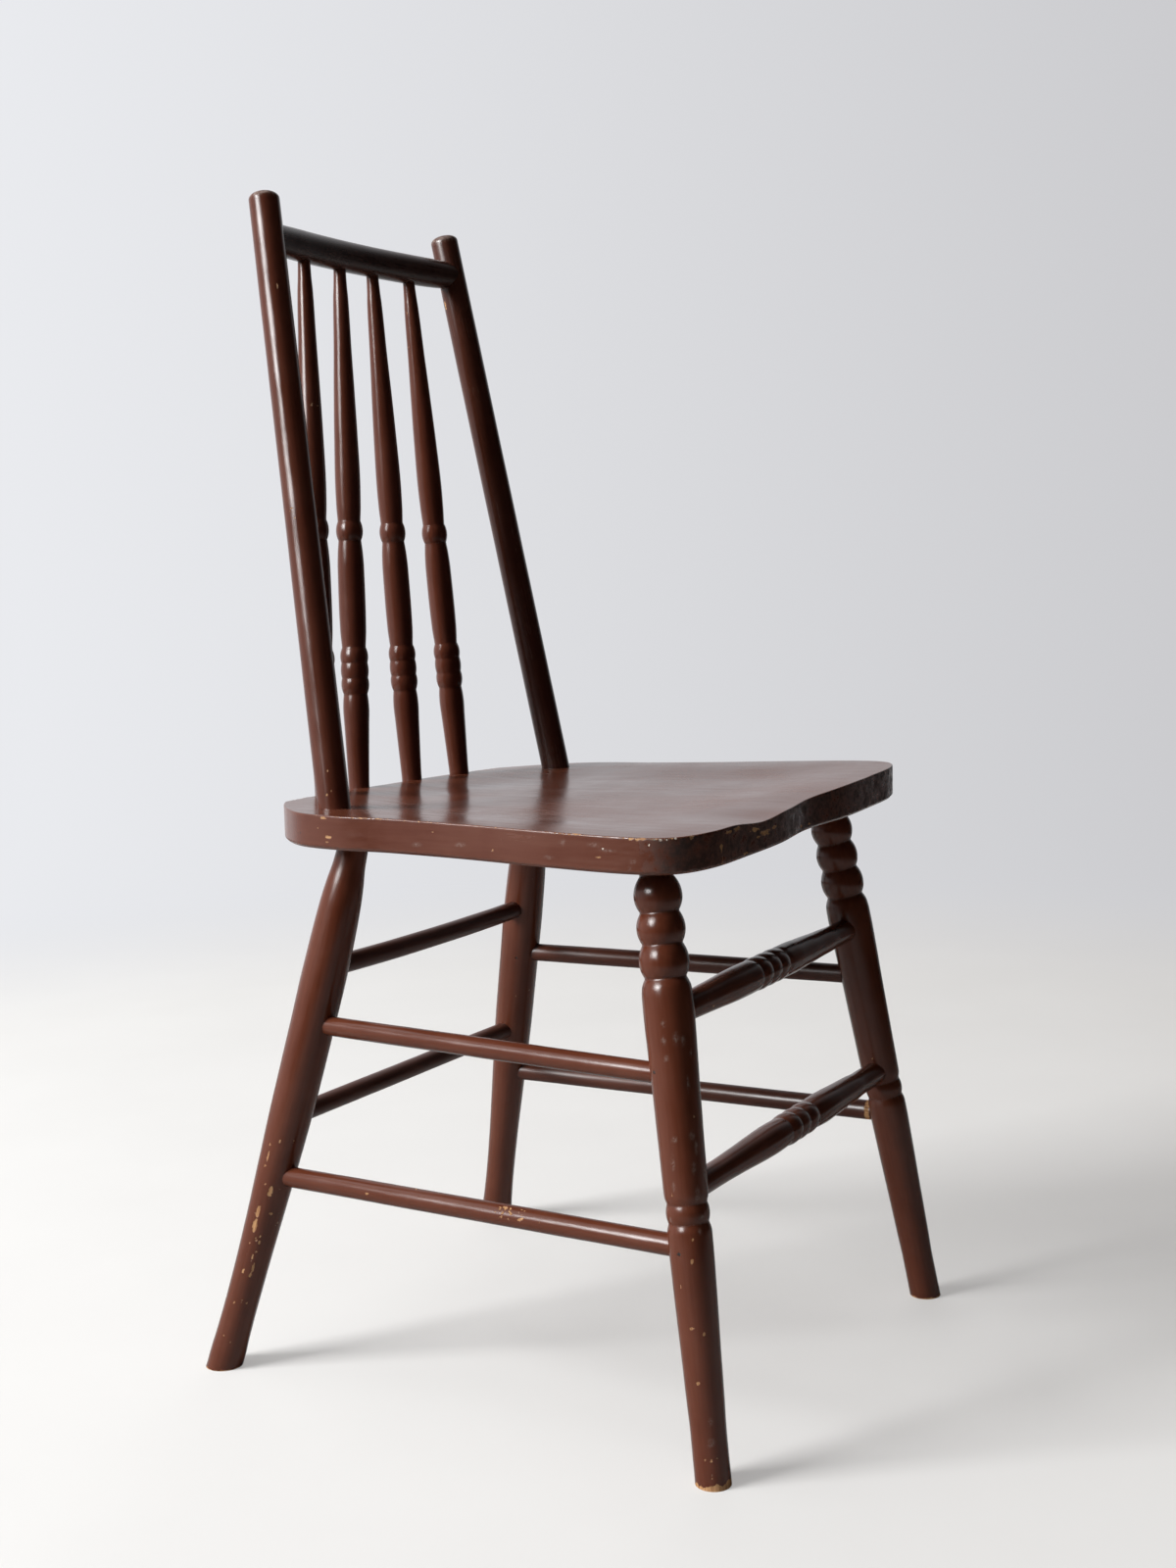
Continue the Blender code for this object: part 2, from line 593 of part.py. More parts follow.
def make_rail(posts, post_lines):
    """The rail's body is hollowed to lie against each post, and a round tenon runs on into the post."""
    line = rail_line(post_lines)
    length = length_of(line)
    inner = 9
    stations = [(0.0, RAIL_END_RADIUS)]
    for index in range(inner):
        distance = RAIL_TAPER + (length - 2.0 * RAIL_TAPER) * index / (inner - 1)
        stations.append((distance, RAIL_RADIUS))
    stations.append((length, RAIL_END_RADIUS))
    rail = turned("crest_rail", line, stations, RAIL_STEPS)
    painted(rail, RAIL_BROWN, 0.30)
    for side, low, high in (("right", SHORT_OF_AXIS, RAIL_TENON_ROOT),
                            ("left", length - RAIL_TENON_ROOT, length - SHORT_OF_AXIS)):
        post_length = length_of(post_lines[side])
        around = radius_at(post_stations(side), post_length - RAIL_BELOW_TOP[side] - RAIL_RADIUS)
        cut(rail, bore("rail_cope_" + side, post_lines[side], post_length / 2.0, post_length + CLEAR, around,
                       POST_STEPS))
        tenon = as_cutter(turned("rail_tenon_" + side, line, ((low, RAIL_TENON_RADIUS), (high, RAIL_TENON_RADIUS)),
                                 RAIL_STEPS))
        combine(rail, tenon, "UNION")
        reach = (low - FIT, high) if side == "right" else (low, high + FIT)
        cut(posts[side], bore("rail_socket_" + side, line, *reach, RAIL_TENON_RADIUS, RAIL_STEPS))
    return rail, line


def spindle_stations(line):
    length = length_of(line)
    stations = [(-SPINDLE_SOCKET_DEPTH, SPINDLE_BASE_RADIUS), (0.0, SPINDLE_BASE_RADIUS), *SPINDLE_SWELL]
    for low, high in zip(SPINDLE_RING_GROOVES, SPINDLE_RING_GROOVES[1:]):
        stations += [low, *bead(low, high, SPINDLE_RING_CROWN, 3)]
    stations += [SPINDLE_RING_GROOVES[-1], *SPINDLE_WAIST]
    low = (SPINDLE_BEAD_LOW, SPINDLE_BEAD_GROOVE)
    high = (SPINDLE_BEAD_HIGH, SPINDLE_BEAD_GROOVE)
    stations += [low, *bead(low, high, SPINDLE_BEAD_CROWN, 3), high]
    stations += [(length - below, radius) for below, radius in SPINDLE_TAPER]
    stations += [(length - RAIL_RADIUS, SPINDLE_TIP_RADIUS),
                 (length - SPINDLE_SHORT_OF_RAIL_AXIS, SPINDLE_TIP_RADIUS)]
    return stations


def make_spindle(number, seat, rail, rail_axis, post_lines):
    name = "spindle_" + str(number + 1)
    right, left = post_lines["right"].start.x, post_lines["left"].start.x
    x = right + (left - right) * SPINDLE_BASE_SHARES[number]
    y = SEAT_BACK - SPINDLE_FROM_BACK[number]
    base = Vector((x, y, blank_top_height(x, y)))
    line = Line(base, point_on(rail_axis, SPINDLE_TOP_SHARES[number]), NO_BEND)
    length = length_of(line)
    spindle = turned(name, line, spindle_stations(line), SPINDLE_STEPS)
    painted(spindle, BACK_BROWN)
    cut(seat, bore(name + "_seat_socket", line, -SPINDLE_SOCKET_DEPTH - FIT, CLEAR, SPINDLE_BASE_RADIUS,
                   SPINDLE_STEPS))
    cut(rail, bore(name + "_rail_socket", line, length - CLEAR, length - SPINDLE_SHORT_OF_RAIL_AXIS + FIT,
                   SPINDLE_TIP_RADIUS, SPINDLE_STEPS))
    return spindle


# Brads


def make_brads(legs, lines, rods, rod_lines):
    for end, side, level, over, heading in BRADS:
        leg_axis = lines[end, side]
        rod_axis = rod_lines[side, level]
        crossing = rod_axis.start if end == "rear" else rod_axis.end
        along = direction_of(rod_axis) if end == "rear" else -direction_of(rod_axis)
        lift = Vector((0.0, 0.0, over))
        share = (crossing.z + over) / leg_axis.end.z
        radius = radius_at(leg_stations(end, side), share * length_of(leg_axis))
        outward = Vector((math.cos(math.radians(heading)), math.sin(math.radians(heading)), 0.0))
        mouth = point_on(leg_axis, share) + outward * radius
        aim = crossing + along * BRAD_REACH + lift
        line = Line(mouth, mouth + (aim - mouth).normalized() * BRAD_LENGTH, NO_BEND)
        name = "brad_" + side + "_" + level
        hole = bore(name + "_hole", line, -CLEAR / 3.0, BRAD_SUNK + BRAD_LENGTH + FIT, BRAD_RADIUS, BRAD_STEPS)
        cut(legs[end, side], hole)
        cut(rods[side, level], hole)
        brad = turned(name, line, ((BRAD_SUNK, BRAD_RADIUS), (BRAD_SUNK + BRAD_LENGTH, BRAD_RADIUS)), BRAD_STEPS)
        painted(brad, BRAD_STEEL, 0.5, 1.0)


# Assembly

clear_scene()
pieces = new_collection(OBJECT_NAME)
cutters = new_collection("cutters")

the_seat = make_seat()
floor_cutter = make_floor_cutter()
leg_objects = {}
leg_lines = {}
for leg_end in ("front", "rear"):
    for leg_side in SIDES:
        leg_objects[leg_end, leg_side], leg_lines[leg_end, leg_side] = make_leg(
            leg_end, leg_side, the_seat, floor_cutter)

side_rods = {}
side_rod_lines = {}
for stretcher_side in SIDES:
    pair = [leg_objects["rear", stretcher_side], leg_objects["front", stretcher_side]]
    axes = [leg_lines["rear", stretcher_side], leg_lines["front", stretcher_side]]
    for level, heights, radii in (("upper", SIDE_UPPER_HEIGHT, SIDE_UPPER_RADIUS),
                                  ("lower", SIDE_LOWER_HEIGHT, SIDE_LOWER_RADIUS)):
        rear_height, front_height = heights[stretcher_side]
        pulled = LOOSE_PULL if (stretcher_side, level) == ("left", "lower") else 0.0
        side_rod_lines[stretcher_side, level] = rod_line(axes[0], rear_height, axes[1], front_height)
        side_rods[stretcher_side, level] = make_dowel(
            "side_stretcher_" + stretcher_side + "_" + level, pair, side_rod_lines[stretcher_side, level],
            radii[stretcher_side], (SHORT_OF_AXIS, SHORT_OF_AXIS + pulled))
make_brads(leg_objects, leg_lines, side_rods, side_rod_lines)

rear_pair = [leg_objects["rear", "right"], leg_objects["rear", "left"]]
rear_axes = [leg_lines["rear", "right"], leg_lines["rear", "left"]]
make_dowel("rear_stretcher_upper", rear_pair,
           rod_line(rear_axes[0], REAR_UPPER_HEIGHT[0], rear_axes[1], REAR_UPPER_HEIGHT[1],
                    Vector((0.0, 0.0, -REAR_UPPER_SAG))), REAR_UPPER_RADIUS)
make_dowel("rear_stretcher_lower", rear_pair,
           rod_line(rear_axes[0], REAR_LOWER_HEIGHT[0], rear_axes[1], REAR_LOWER_HEIGHT[1]), REAR_LOWER_RADIUS)

front_pair = [leg_objects["front", "right"], leg_objects["front", "left"]]
front_axes = [leg_lines["front", "right"], leg_lines["front", "left"]]
make_ring_stretcher("front_stretcher_upper", front_pair,
                    rod_line(front_axes[0], FRONT_UPPER_HEIGHT[0], front_axes[1], FRONT_UPPER_HEIGHT[1]),
                    FRONT_UPPER_RINGS, FRONT_UPPER_GROOVES, FRONT_UPPER_CROWN, FRONT_UPPER_SWELLS,
                    FRONT_UPPER_END_RADIUS)
make_ring_stretcher("front_stretcher_lower", front_pair,
                    rod_line(front_axes[0], FRONT_LOWER_HEIGHT[0], front_axes[1], FRONT_LOWER_HEIGHT[1]),
                    FRONT_LOWER_RINGS, FRONT_LOWER_GROOVES, FRONT_LOWER_CROWN, FRONT_LOWER_SWELLS,
                    FRONT_LOWER_END_RADIUS)

post_objects = {}
post_axes = {}
for post_side in SIDES:
    post_objects[post_side], post_axes[post_side] = make_post(post_side, the_seat)
the_rail, rail_axis_line = make_rail(post_objects, post_axes)
for spindle_number in range(len(SPINDLE_BASE_SHARES)):
    make_spindle(spindle_number, the_seat, the_rail, rail_axis_line, post_axes)
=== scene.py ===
# %% [markdown]
# A peeling paint chair
#
# This notebook dresses a plank-seat kitchen chair. The chair is about 905 mm tall: a shaped plank seat,
# four turned legs, eight stretchers, two round posts, four turned spindles and a round rail between the
# posts. Every wooden part wears one thick, old coat of red-brown enamel that has flaked at its edges.
# The solids come ready packed, and this script makes finer skins in exactly the same places, paints
# them, and lights them.

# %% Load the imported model
import math
import random
from collections import namedtuple

import bmesh
import bpy
import numpy as np
from mathutils import Matrix, Vector, noise
from mathutils.bvhtree import BVHTree


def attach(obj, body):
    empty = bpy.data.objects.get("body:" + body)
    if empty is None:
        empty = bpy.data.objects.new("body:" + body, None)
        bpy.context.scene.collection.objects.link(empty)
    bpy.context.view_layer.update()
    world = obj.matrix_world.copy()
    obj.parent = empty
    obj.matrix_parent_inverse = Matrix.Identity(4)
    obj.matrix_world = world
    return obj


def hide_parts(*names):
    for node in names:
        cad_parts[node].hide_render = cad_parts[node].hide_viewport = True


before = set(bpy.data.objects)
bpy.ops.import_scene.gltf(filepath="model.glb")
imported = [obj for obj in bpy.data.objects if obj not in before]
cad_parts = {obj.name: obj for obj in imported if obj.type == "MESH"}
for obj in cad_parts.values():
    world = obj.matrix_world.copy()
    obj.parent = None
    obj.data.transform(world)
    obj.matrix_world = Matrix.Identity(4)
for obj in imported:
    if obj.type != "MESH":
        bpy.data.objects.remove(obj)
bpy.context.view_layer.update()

print("solids:", len(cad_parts))

# %% [markdown]
# The camera
#
# A photograph is matched by finding where its camera stood. The eye was about 0.6 m over the floor, at
# the sitter's right front, looking down a little and leaning a degree and a half. The three turns are
# written as angles, and the camera's own axes are worked out from them. The same axes are used later to
# find the spot on the chair that a point of the picture shows.

# %% Camera
EYE = Vector((-1.2860, -0.7788, 0.6148))
HEADING = math.radians(-59.288)
LOOKING_DOWN = math.radians(6.441)
LEANING = math.radians(-1.494)
LENS = 44.04
SENSOR = 36.0
PICTURE_WIDE = 1200
PICTURE_TALL = 1600
FOCUS = LENS / SENSOR * PICTURE_TALL

behind = Vector((math.sin(HEADING) * math.cos(LOOKING_DOWN), -math.cos(HEADING) * math.cos(LOOKING_DOWN),
                 math.sin(LOOKING_DOWN)))
level_right = (-behind).cross(Vector((0.0, 0.0, 1.0))).normalized()
level_up = level_right.cross(-behind)
picture_right = level_right * math.cos(LEANING) + level_up * math.sin(LEANING)
picture_up = level_up * math.cos(LEANING) - level_right * math.sin(LEANING)

camera_data = bpy.data.cameras.new("photographer")
camera_data.lens = LENS
camera_data.sensor_width = SENSOR
camera = bpy.data.objects.new("photographer", camera_data)
bpy.context.scene.collection.objects.link(camera)
turned = Matrix((picture_right, picture_up, behind)).transposed().to_4x4()
camera.matrix_world = Matrix.Translation(EYE) @ turned
bpy.context.scene.camera = camera
bpy.context.scene.view_settings.view_transform = "Standard"
print("camera at", tuple(EYE), "lens", LENS)


# %% A ray through a point of the picture
def ray_through(across, down):
    """Direction from the eye through a point of the picture, counted in its own pixels from the top left."""
    sideways = picture_right * (across - PICTURE_WIDE / 2.0)
    upward = picture_up * (PICTURE_TALL / 2.0 - down)
    return (sideways + upward - behind * FOCUS).normalized()


middle_way = ray_through(PICTURE_WIDE / 2, PICTURE_TALL / 2)
print("middle of the picture looks along", [round(part, 3) for part in middle_way])

# %% [markdown]
# Nodes by hand
#
# Every tree below is built the same way: make a node, set its values, link it. Small helpers keep that
# short. One adds a node and fills its inputs. A few others stand for the commonest nodes: a sum, a
# noise, a change of range, a mix of two colours. Two more start a group and a material.


# %% Node helpers
def feed(tree, node, values):
    """Give each named or numbered input of a node its value or its link."""
    for name, value in values.items():
        if isinstance(value, bpy.types.NodeSocket):
            tree.links.new(value, node.inputs[name])
        else:
            node.inputs[name].default_value = value


def add_node(tree, kind, values=None, **settings):
    """Add a node, set its properties, then feed its inputs."""
    node = tree.nodes.new(kind)
    for name, value in settings.items():
        setattr(node, name, value)
    feed(tree, node, values or {})
    return node


def maths(tree, operation, *numbers, **settings):
    return add_node(tree, "ShaderNodeMath", dict(enumerate(numbers)), operation=operation,
                    **settings).outputs["Value"]


def vector_maths(tree, operation, *vectors, answer="Vector"):
    node = add_node(tree, "ShaderNodeVectorMath", dict(enumerate(vectors)), operation=operation)
    return node.outputs[answer]


def scaled(tree, vector, amount):
    node = add_node(tree, "ShaderNodeVectorMath", {0: vector, "Scale": amount}, operation="SCALE")
    return node.outputs["Vector"]


def clouds_of(tree, place, scale, detail, roughness=0.5):
    """Soft noise between 0 and 1."""
    return add_node(tree, "ShaderNodeTexNoise", {"Vector": place, "Scale": scale, "Detail": detail,
                                                 "Roughness": roughness}).outputs["Fac"]


def rescale(tree, value, low, high, to_low=0.0, to_high=1.0, easing="LINEAR"):
    """Stretch a number from one range to another, and hold it there."""
    return add_node(tree, "ShaderNodeMapRange", {"Value": value, "From Min": low, "From Max": high,
                                                 "To Min": to_low, "To Max": to_high},
                    interpolation_type=easing).outputs["Result"]


def blend(tree, share, under, over, kind="RGBA"):
    """Lay one colour over another through a mask, or mix two numbers with kind FLOAT."""
    return add_node(tree, "ShaderNodeMix", {"Factor": share, "A": under, "B": over},
                    data_type=kind).outputs["Result"]


def object_place(tree):
    return add_node(tree, "ShaderNodeTexCoord").outputs["Object"]


def new_group(name, inputs, outputs, kind="ShaderNodeTree"):
    """Start a group. Each input is name: (kind, value), each output is name: kind."""
    tree = bpy.data.node_groups.new(name, kind)
    for label, (sort, value) in inputs.items():
        socket = tree.interface.new_socket(label, in_out="INPUT", socket_type="NodeSocket" + sort)
        if value is not None:
            socket.default_value = value
    for label, sort in outputs.items():
        tree.interface.new_socket(label, in_out="OUTPUT", socket_type="NodeSocket" + sort)
    given = tree.nodes.new("NodeGroupInput").outputs
    return tree, given, tree.nodes.new("NodeGroupOutput")


def new_finish(name):
    """Start a material. Gives the material, its tree and its Principled shader."""
    material = bpy.data.materials.new(name)
    material.use_nodes = True
    return material, material.node_tree, material.node_tree.nodes["Principled BSDF"]


def put_in_scene(name, mesh):
    piece = bpy.data.objects.new(name, mesh)
    bpy.context.scene.collection.objects.link(piece)
    return piece


print("helpers ready")

# %% [markdown]
# The room
#
# The chair stands on a pale floor in front of a pale wall, about four metres from the camera. Here the
# wall is a tall ring all round, so that every other view has one too. It is seen by the camera and in
# reflections only, and throws no light. It is bright on the side behind the chair and dim on the side
# of the camera, which is why the paint's left edges shine and its right edges stay nearly black.

# %% Room sizes and colours
ROOM_RADIUS = 2.55
ROOM_TALL = 3.2
ROOM_STEPS = 96
SWEEP_RADIUS = 0.30
FLOOR_RINGS = (0.5, 1.2, 2.0, ROOM_RADIUS)
FADE_FROM = 1.30
FADE_TO = 2.25
PICTURE_LEFT_SIDE = -1.1
PICTURE_RIGHT_SIDE = 1.2
FLOOR_LIT = (0.460, 0.456, 0.448, 1.0)
FLOOR_STAIN = (0.20, 0.19, 0.18, 1.0)
FLOOR_STAIN_MOST = 0.05
FLOOR_STAIN_SCALE = 5.0
FLOOR_STAIN_SPREAD = (0.35, 0.65)
FLOOR_GLOW_BRIGHT = (0.370, 0.368, 0.364, 1.0)
FLOOR_GLOW_SHADED = (0.292, 0.280, 0.274, 1.0)
FLOOR_ROUGHNESS = 0.8
WALL_BRIGHT = (0.820, 0.830, 0.860, 1.0)
WALL_SHADED = (0.600, 0.600, 0.620, 1.0)
WALL_UNLIT = (0.010, 0.010, 0.010, 1.0)
NO_COLOUR = (0.0, 0.0, 0.0, 1.0)
MIRROR_LEFTWARD = 0.8
MIRROR_SPREAD = (-0.6, 1.2)


def ring_strip(model, rings):
    """Join rings of (radius, height) round the middle into a strip that faces the middle."""
    made = []
    for radius, height in rings:
        turns = [2.0 * math.pi * step / ROOM_STEPS for step in range(ROOM_STEPS)]
        made.append([model.verts.new((radius * math.cos(turn), radius * math.sin(turn), height))
                     for turn in turns])
    for outer, inner in zip(made[1:], made):
        for step in range(ROOM_STEPS):
            following = (step + 1) % ROOM_STEPS
            model.faces.new((inner[step], outer[step], outer[following], inner[following]))
    return made


def room_piece(name, rings, with_middle):
    """A floor or wall made of rings, shaded smooth and put on the stage."""
    model = bmesh.new()
    made = ring_strip(model, rings)
    if with_middle:
        model.faces.new(made[0])
    mesh = bpy.data.meshes.new(name)
    model.to_mesh(mesh)
    model.free()
    mesh.shade_smooth()
    piece = put_in_scene(name, mesh)
    return piece


floor = room_piece("studio_floor", [(radius, 0.0) for radius in FLOOR_RINGS], True)
sweep = [(ROOM_RADIUS - SWEEP_RADIUS + SWEEP_RADIUS * math.sin(math.radians(degrees)),
          SWEEP_RADIUS - SWEEP_RADIUS * math.cos(math.radians(degrees))) for degrees in range(0, 91, 10)]
wall = room_piece("studio_wall", sweep + [(ROOM_RADIUS, ROOM_TALL)], False)
wall.visible_diffuse = False
wall.visible_shadow = False
print("room radius", ROOM_RADIUS, "m")


# %% Room finishes
def across_the_room(tree, place, bright, shaded):
    """A colour that runs from bright at the picture's left to shaded at its right."""
    rightward = vector_maths(tree, "DOT_PRODUCT", place, level_right, answer="Value")
    return blend(tree, rescale(tree, rightward, PICTURE_LEFT_SIDE, PICTURE_RIGHT_SIDE), bright, shaded)


def studio_floor_finish():
    """Half of the floor's paleness is lit and takes shadows. The other half is a glow only the camera sees:
    painted light, bright at the picture's left and shaded at its right.
    """
    material, tree, shader = new_finish("studio_floor_finish")
    place = object_place(tree)
    away = vector_maths(tree, "LENGTH", place, answer="Value")
    fade = rescale(tree, away, FADE_FROM, FADE_TO, easing="SMOOTHSTEP")
    mottle = clouds_of(tree, place, FLOOR_STAIN_SCALE, 6.0)
    stain = rescale(tree, mottle, *FLOOR_STAIN_SPREAD, 0.0, FLOOR_STAIN_MOST)
    lit = blend(tree, stain, FLOOR_LIT, FLOOR_STAIN)
    # Painted light: a glow graded from bright at the left to shaded at the right
    painted_glow = across_the_room(tree, place, FLOOR_GLOW_BRIGHT, FLOOR_GLOW_SHADED)
    far = across_the_room(tree, place, WALL_BRIGHT, WALL_SHADED)
    feed(tree, shader, {"Base Color": blend(tree, fade, lit, NO_COLOUR),
                        "Emission Color": blend(tree, fade, painted_glow, far),
                        "Emission Strength": add_node(tree, "ShaderNodeLightPath").outputs["Is Camera Ray"],
                        "Roughness": FLOOR_ROUGHNESS, "Specular IOR Level": 0.0})
    return material


def studio_wall_finish():
    """A glow, not a lamp. Pale for the camera, graded from painted light at the left to painted shade at the
    right; reflections see it bright behind the chair and dark behind the camera.
    """
    material, tree, shader = new_finish("studio_wall_finish")
    tree.nodes.remove(shader)
    place = object_place(tree)
    pale = across_the_room(tree, place, WALL_BRIGHT, WALL_SHADED)
    bright_way = (-behind - level_right * MIRROR_LEFTWARD).normalized()
    facing = vector_maths(tree, "DOT_PRODUCT", place, bright_way, answer="Value")
    # Painted reflection: near black on the camera's side, pale elsewhere
    painted_reflection = blend(tree, rescale(tree, facing, *MIRROR_SPREAD, easing="SMOOTHSTEP"), WALL_UNLIT, pale)
    camera_ray = add_node(tree, "ShaderNodeLightPath").outputs["Is Camera Ray"]
    painted_glow = add_node(tree, "ShaderNodeEmission", {"Color": blend(tree, camera_ray, painted_reflection, pale),
                                                 "Strength": 1.0})
    feed(tree, tree.nodes["Material Output"], {"Surface": painted_glow.outputs["Emission"]})
    return material


floor.data.materials.append(studio_floor_finish())
wall.data.materials.append(studio_wall_finish())
print("room finishes:", floor.data.materials[0].name, wall.data.materials[0].name)

# %% [markdown]
# The light
#
# The light in the picture comes from windows at the left of the camera and rather low. Two things tell
# where. The shading of the round legs says how the light spreads: it comes from well to the left, so
# their right sides are almost black. The bright spots on the balls say where the panes are: a highlight
# lies half way between the eye and what it mirrors. So one lamp gives the spread and a second, smaller
# one is only seen in reflections, where it draws the white line down the left of every post. A large,
# weak lamp overhead stands for the ceiling. Another stands for what the pale wall throws back on the
# chair's far side, and a faint even world light keeps the dark sides from going to nothing.

# %% Lamps
# Each lamp is (way from the chair, distance, width, height, power).
LAMPS = {
    "window_light": ((-0.650, 0.572, 0.500), 4.8, 1.90, 2.05, 370.0),
    "window_pane": ((-0.835, 0.312, 0.455), 3.4, 1.35, 1.20, 480.0),
    "wall_glow": ((0.860, 0.510, 0.230), 4.0, 3.4, 3.4, 56.0),
    "ceiling_light": ((-0.25, 0.30, 0.92), 2.7, 2.6, 2.6, 34.0),
}
AIR_COLOUR = (0.95, 0.97, 1.0, 1.0)
WORLD_LEVEL = 0.018
CHAIR_MIDDLE = Vector((0.0, 0.0, 0.40))


def soft_lamp(name, way, distance, wide, tall, power):
    """An area lamp that looks at the middle of the chair and isn't seen by the camera."""
    data = bpy.data.lights.new(name, "AREA")
    data.shape = "RECTANGLE"
    data.size = wide
    data.size_y = tall
    data.energy = power
    lamp = put_in_scene(name, data)
    toward = Vector(way).normalized()
    lamp.location = CHAIR_MIDDLE + toward * distance
    lamp.rotation_mode = "QUATERNION"
    lamp.rotation_quaternion = toward.to_track_quat("Z", "Y")
    lamp.visible_camera = False
    return lamp


lamps = {name: soft_lamp(name, *numbers) for name, numbers in LAMPS.items()}
lamps["window_light"].visible_glossy = False
lamps["window_pane"].visible_diffuse = False
lamps["wall_glow"].visible_glossy = False
world = bpy.data.worlds.new("studio_air")
world.use_nodes = True
feed(world.node_tree, world.node_tree.nodes["Background"], {"Color": AIR_COLOUR, "Strength": WORLD_LEVEL})
bpy.context.scene.world = world
print("lamps:", {name: [round(part, 2) for part in lamp.location] for name, lamp in lamps.items()})

# %% [markdown]
# The old enamel
#
# The real coat is thick household enamel, brushed on along the grain: a red-brown chocolate, half
# glossy. Close up it is never one colour. It is cloudy where it faded, streaked lengthwise where the
# brush dragged, and dark in the grooves, partly from dirt and paint that gathered there and partly from
# painted shade. Each of those is a small group of nodes, built once. A material gives a group its own
# values and mixes what comes out.
#
# The first group is the film of paint itself. It gives a colour, a roughness and a height. The brush
# streaks come from noise that is squeezed along the length of the piece, so the group takes a stretch
# for each axis.

# %% Group: paint film
STREAK_SHARE = 0.40
STREAK_HEIGHT = 0.35
FADED_SPREAD = (0.36, 0.64)


def make_paint_film():
    tree, given, result = new_group(
        "Paint film",
        {"Place": ("Vector", None), "Stretch": ("Vector", (1.0, 1.0, 0.06)),
         "Fresh": ("Color", (0.1, 0.04, 0.03, 1)), "Faded": ("Color", (0.13, 0.055, 0.04, 1)),
         "Clouds": ("Float", 14.0), "Streaks": ("Float", 420.0),
         "Smoothest": ("Float", 0.26), "Roughest": ("Float", 0.42)},
        {"Color": "Color", "Roughness": "Float", "Height": "Float"})
    clouds = clouds_of(tree, given["Place"], given["Clouds"], 4.0, 0.6)
    drawn = vector_maths(tree, "MULTIPLY", given["Place"], given["Stretch"])
    streaks = clouds_of(tree, drawn, given["Streaks"], 3.0, 0.65)
    worn = rescale(tree, blend(tree, STREAK_SHARE, clouds, streaks, "FLOAT"), *FADED_SPREAD)
    feed(tree, result, {"Color": blend(tree, worn, given["Fresh"], given["Faded"]),
                        "Roughness": rescale(tree, worn, 0.0, 1.0, given["Smoothest"], given["Roughest"]),
                        "Height": blend(tree, STREAK_HEIGHT, clouds, streaks, "FLOAT")})
    return tree


paint_film = make_paint_film()
print(paint_film.name, "gives", [socket.name for socket in paint_film.interface.items_tree
                                 if socket.in_out == "OUTPUT"])

# %% [markdown]
# Flakes
#
# Where the paint let go it left small, sharp-edged islands of bare wood. How many and where is painted
# on each piece as a soft number from 0 to 1. The group turns that soft number into hard, ragged spots:
# it adds noise and keeps only what comes over a limit. A few specks are added everywhere, because old
# paint has them.

# %% Group: flaked spots
CHIP_EDGE = (0.46, 0.54)
SPECK_EDGE = (0.262, 0.276)
DUST_SCALE = 170.0
FEW_SCALE = 16.0


def make_flaked_spots():
    tree, given, result = new_group(
        "Flaked spots",
        {"Place": ("Vector", None), "Amount": ("Float", 0.0), "Size": ("Float", 420.0),
         "Ragged": ("Float", 0.9), "Specks": ("Float", 0.5)},
        {"Mask": "Float"})
    place = given["Place"]
    edge = maths(tree, "SUBTRACT", clouds_of(tree, place, given["Size"], 3.0), 0.5)
    torn = maths(tree, "MULTIPLY_ADD", edge, given["Ragged"], given["Amount"])
    painted = rescale(tree, torn, *CHIP_EDGE, easing="SMOOTHSTEP")
    dust = clouds_of(tree, place, DUST_SCALE, 2.0, 0.7)
    few = clouds_of(tree, place, FEW_SCALE, 1.0)
    sparse = maths(tree, "MULTIPLY", maths(tree, "MULTIPLY", dust, few), given["Specks"])
    speck = rescale(tree, sparse, *SPECK_EDGE, easing="SMOOTHSTEP")
    feed(tree, result, {"Mask": maths(tree, "MAXIMUM", painted, speck)})
    return tree


flaked_spots = make_flaked_spots()
print(flaked_spots.name, "ready")

# %% [markdown]
# Bare wood
#
# Under the paint is a light hardwood, tan to orange where it is fresh and grey-brown where dirt got in.
# Its grain runs along the piece, so the group stretches its noise the same way as the paint's.

# %% Group: bare wood
GRAIN_SPREAD = (0.32, 0.62)


def make_bare_wood():
    tree, given, result = new_group(
        "Bare wood",
        {"Place": ("Vector", None), "Stretch": ("Vector", (1.0, 1.0, 0.05)),
         "Pale": ("Color", (0.50, 0.28, 0.13, 1)), "Dark": ("Color", (0.25, 0.11, 0.045, 1)),
         "Grain": ("Float", 900.0)},
        {"Color": "Color"})
    drawn = vector_maths(tree, "MULTIPLY", given["Place"], given["Stretch"])
    grain = rescale(tree, clouds_of(tree, drawn, given["Grain"], 4.0), *GRAIN_SPREAD)
    feed(tree, result, {"Color": blend(tree, grain, given["Dark"], given["Pale"])})
    return tree


bare_wood = make_bare_wood()
print(bare_wood.name, "ready")

# %% [markdown]
# Scuffs, and grime with painted shade
#
# Two quieter marks finish the coat. Scuffs are thin, whitish rubs that sit on top of the film. The
# other mark is darker and duller: in the grooves it is dirt together with painted shade, and on the
# seat's front face it is painted shade. Both are a painted amount, broken up by noise, so one group
# serves them both.

# %% Group: broken patch
PATCH_SPREAD = (0.38, 0.62)


def make_broken_patch():
    tree, given, result = new_group(
        "Broken patch",
        {"Place": ("Vector", None), "Amount": ("Float", 0.0), "Size": ("Float", 120.0),
         "Strength": ("Float", 0.6)},
        {"Mask": "Float"})
    holes = rescale(tree, clouds_of(tree, given["Place"], given["Size"], 5.0, 0.75), *PATCH_SPREAD)
    held = maths(tree, "MULTIPLY", holes, given["Amount"])
    feed(tree, result, {"Mask": maths(tree, "MULTIPLY", held, given["Strength"], use_clamp=True)})
    return tree


broken_patch = make_broken_patch()
print(broken_patch.name, "ready")
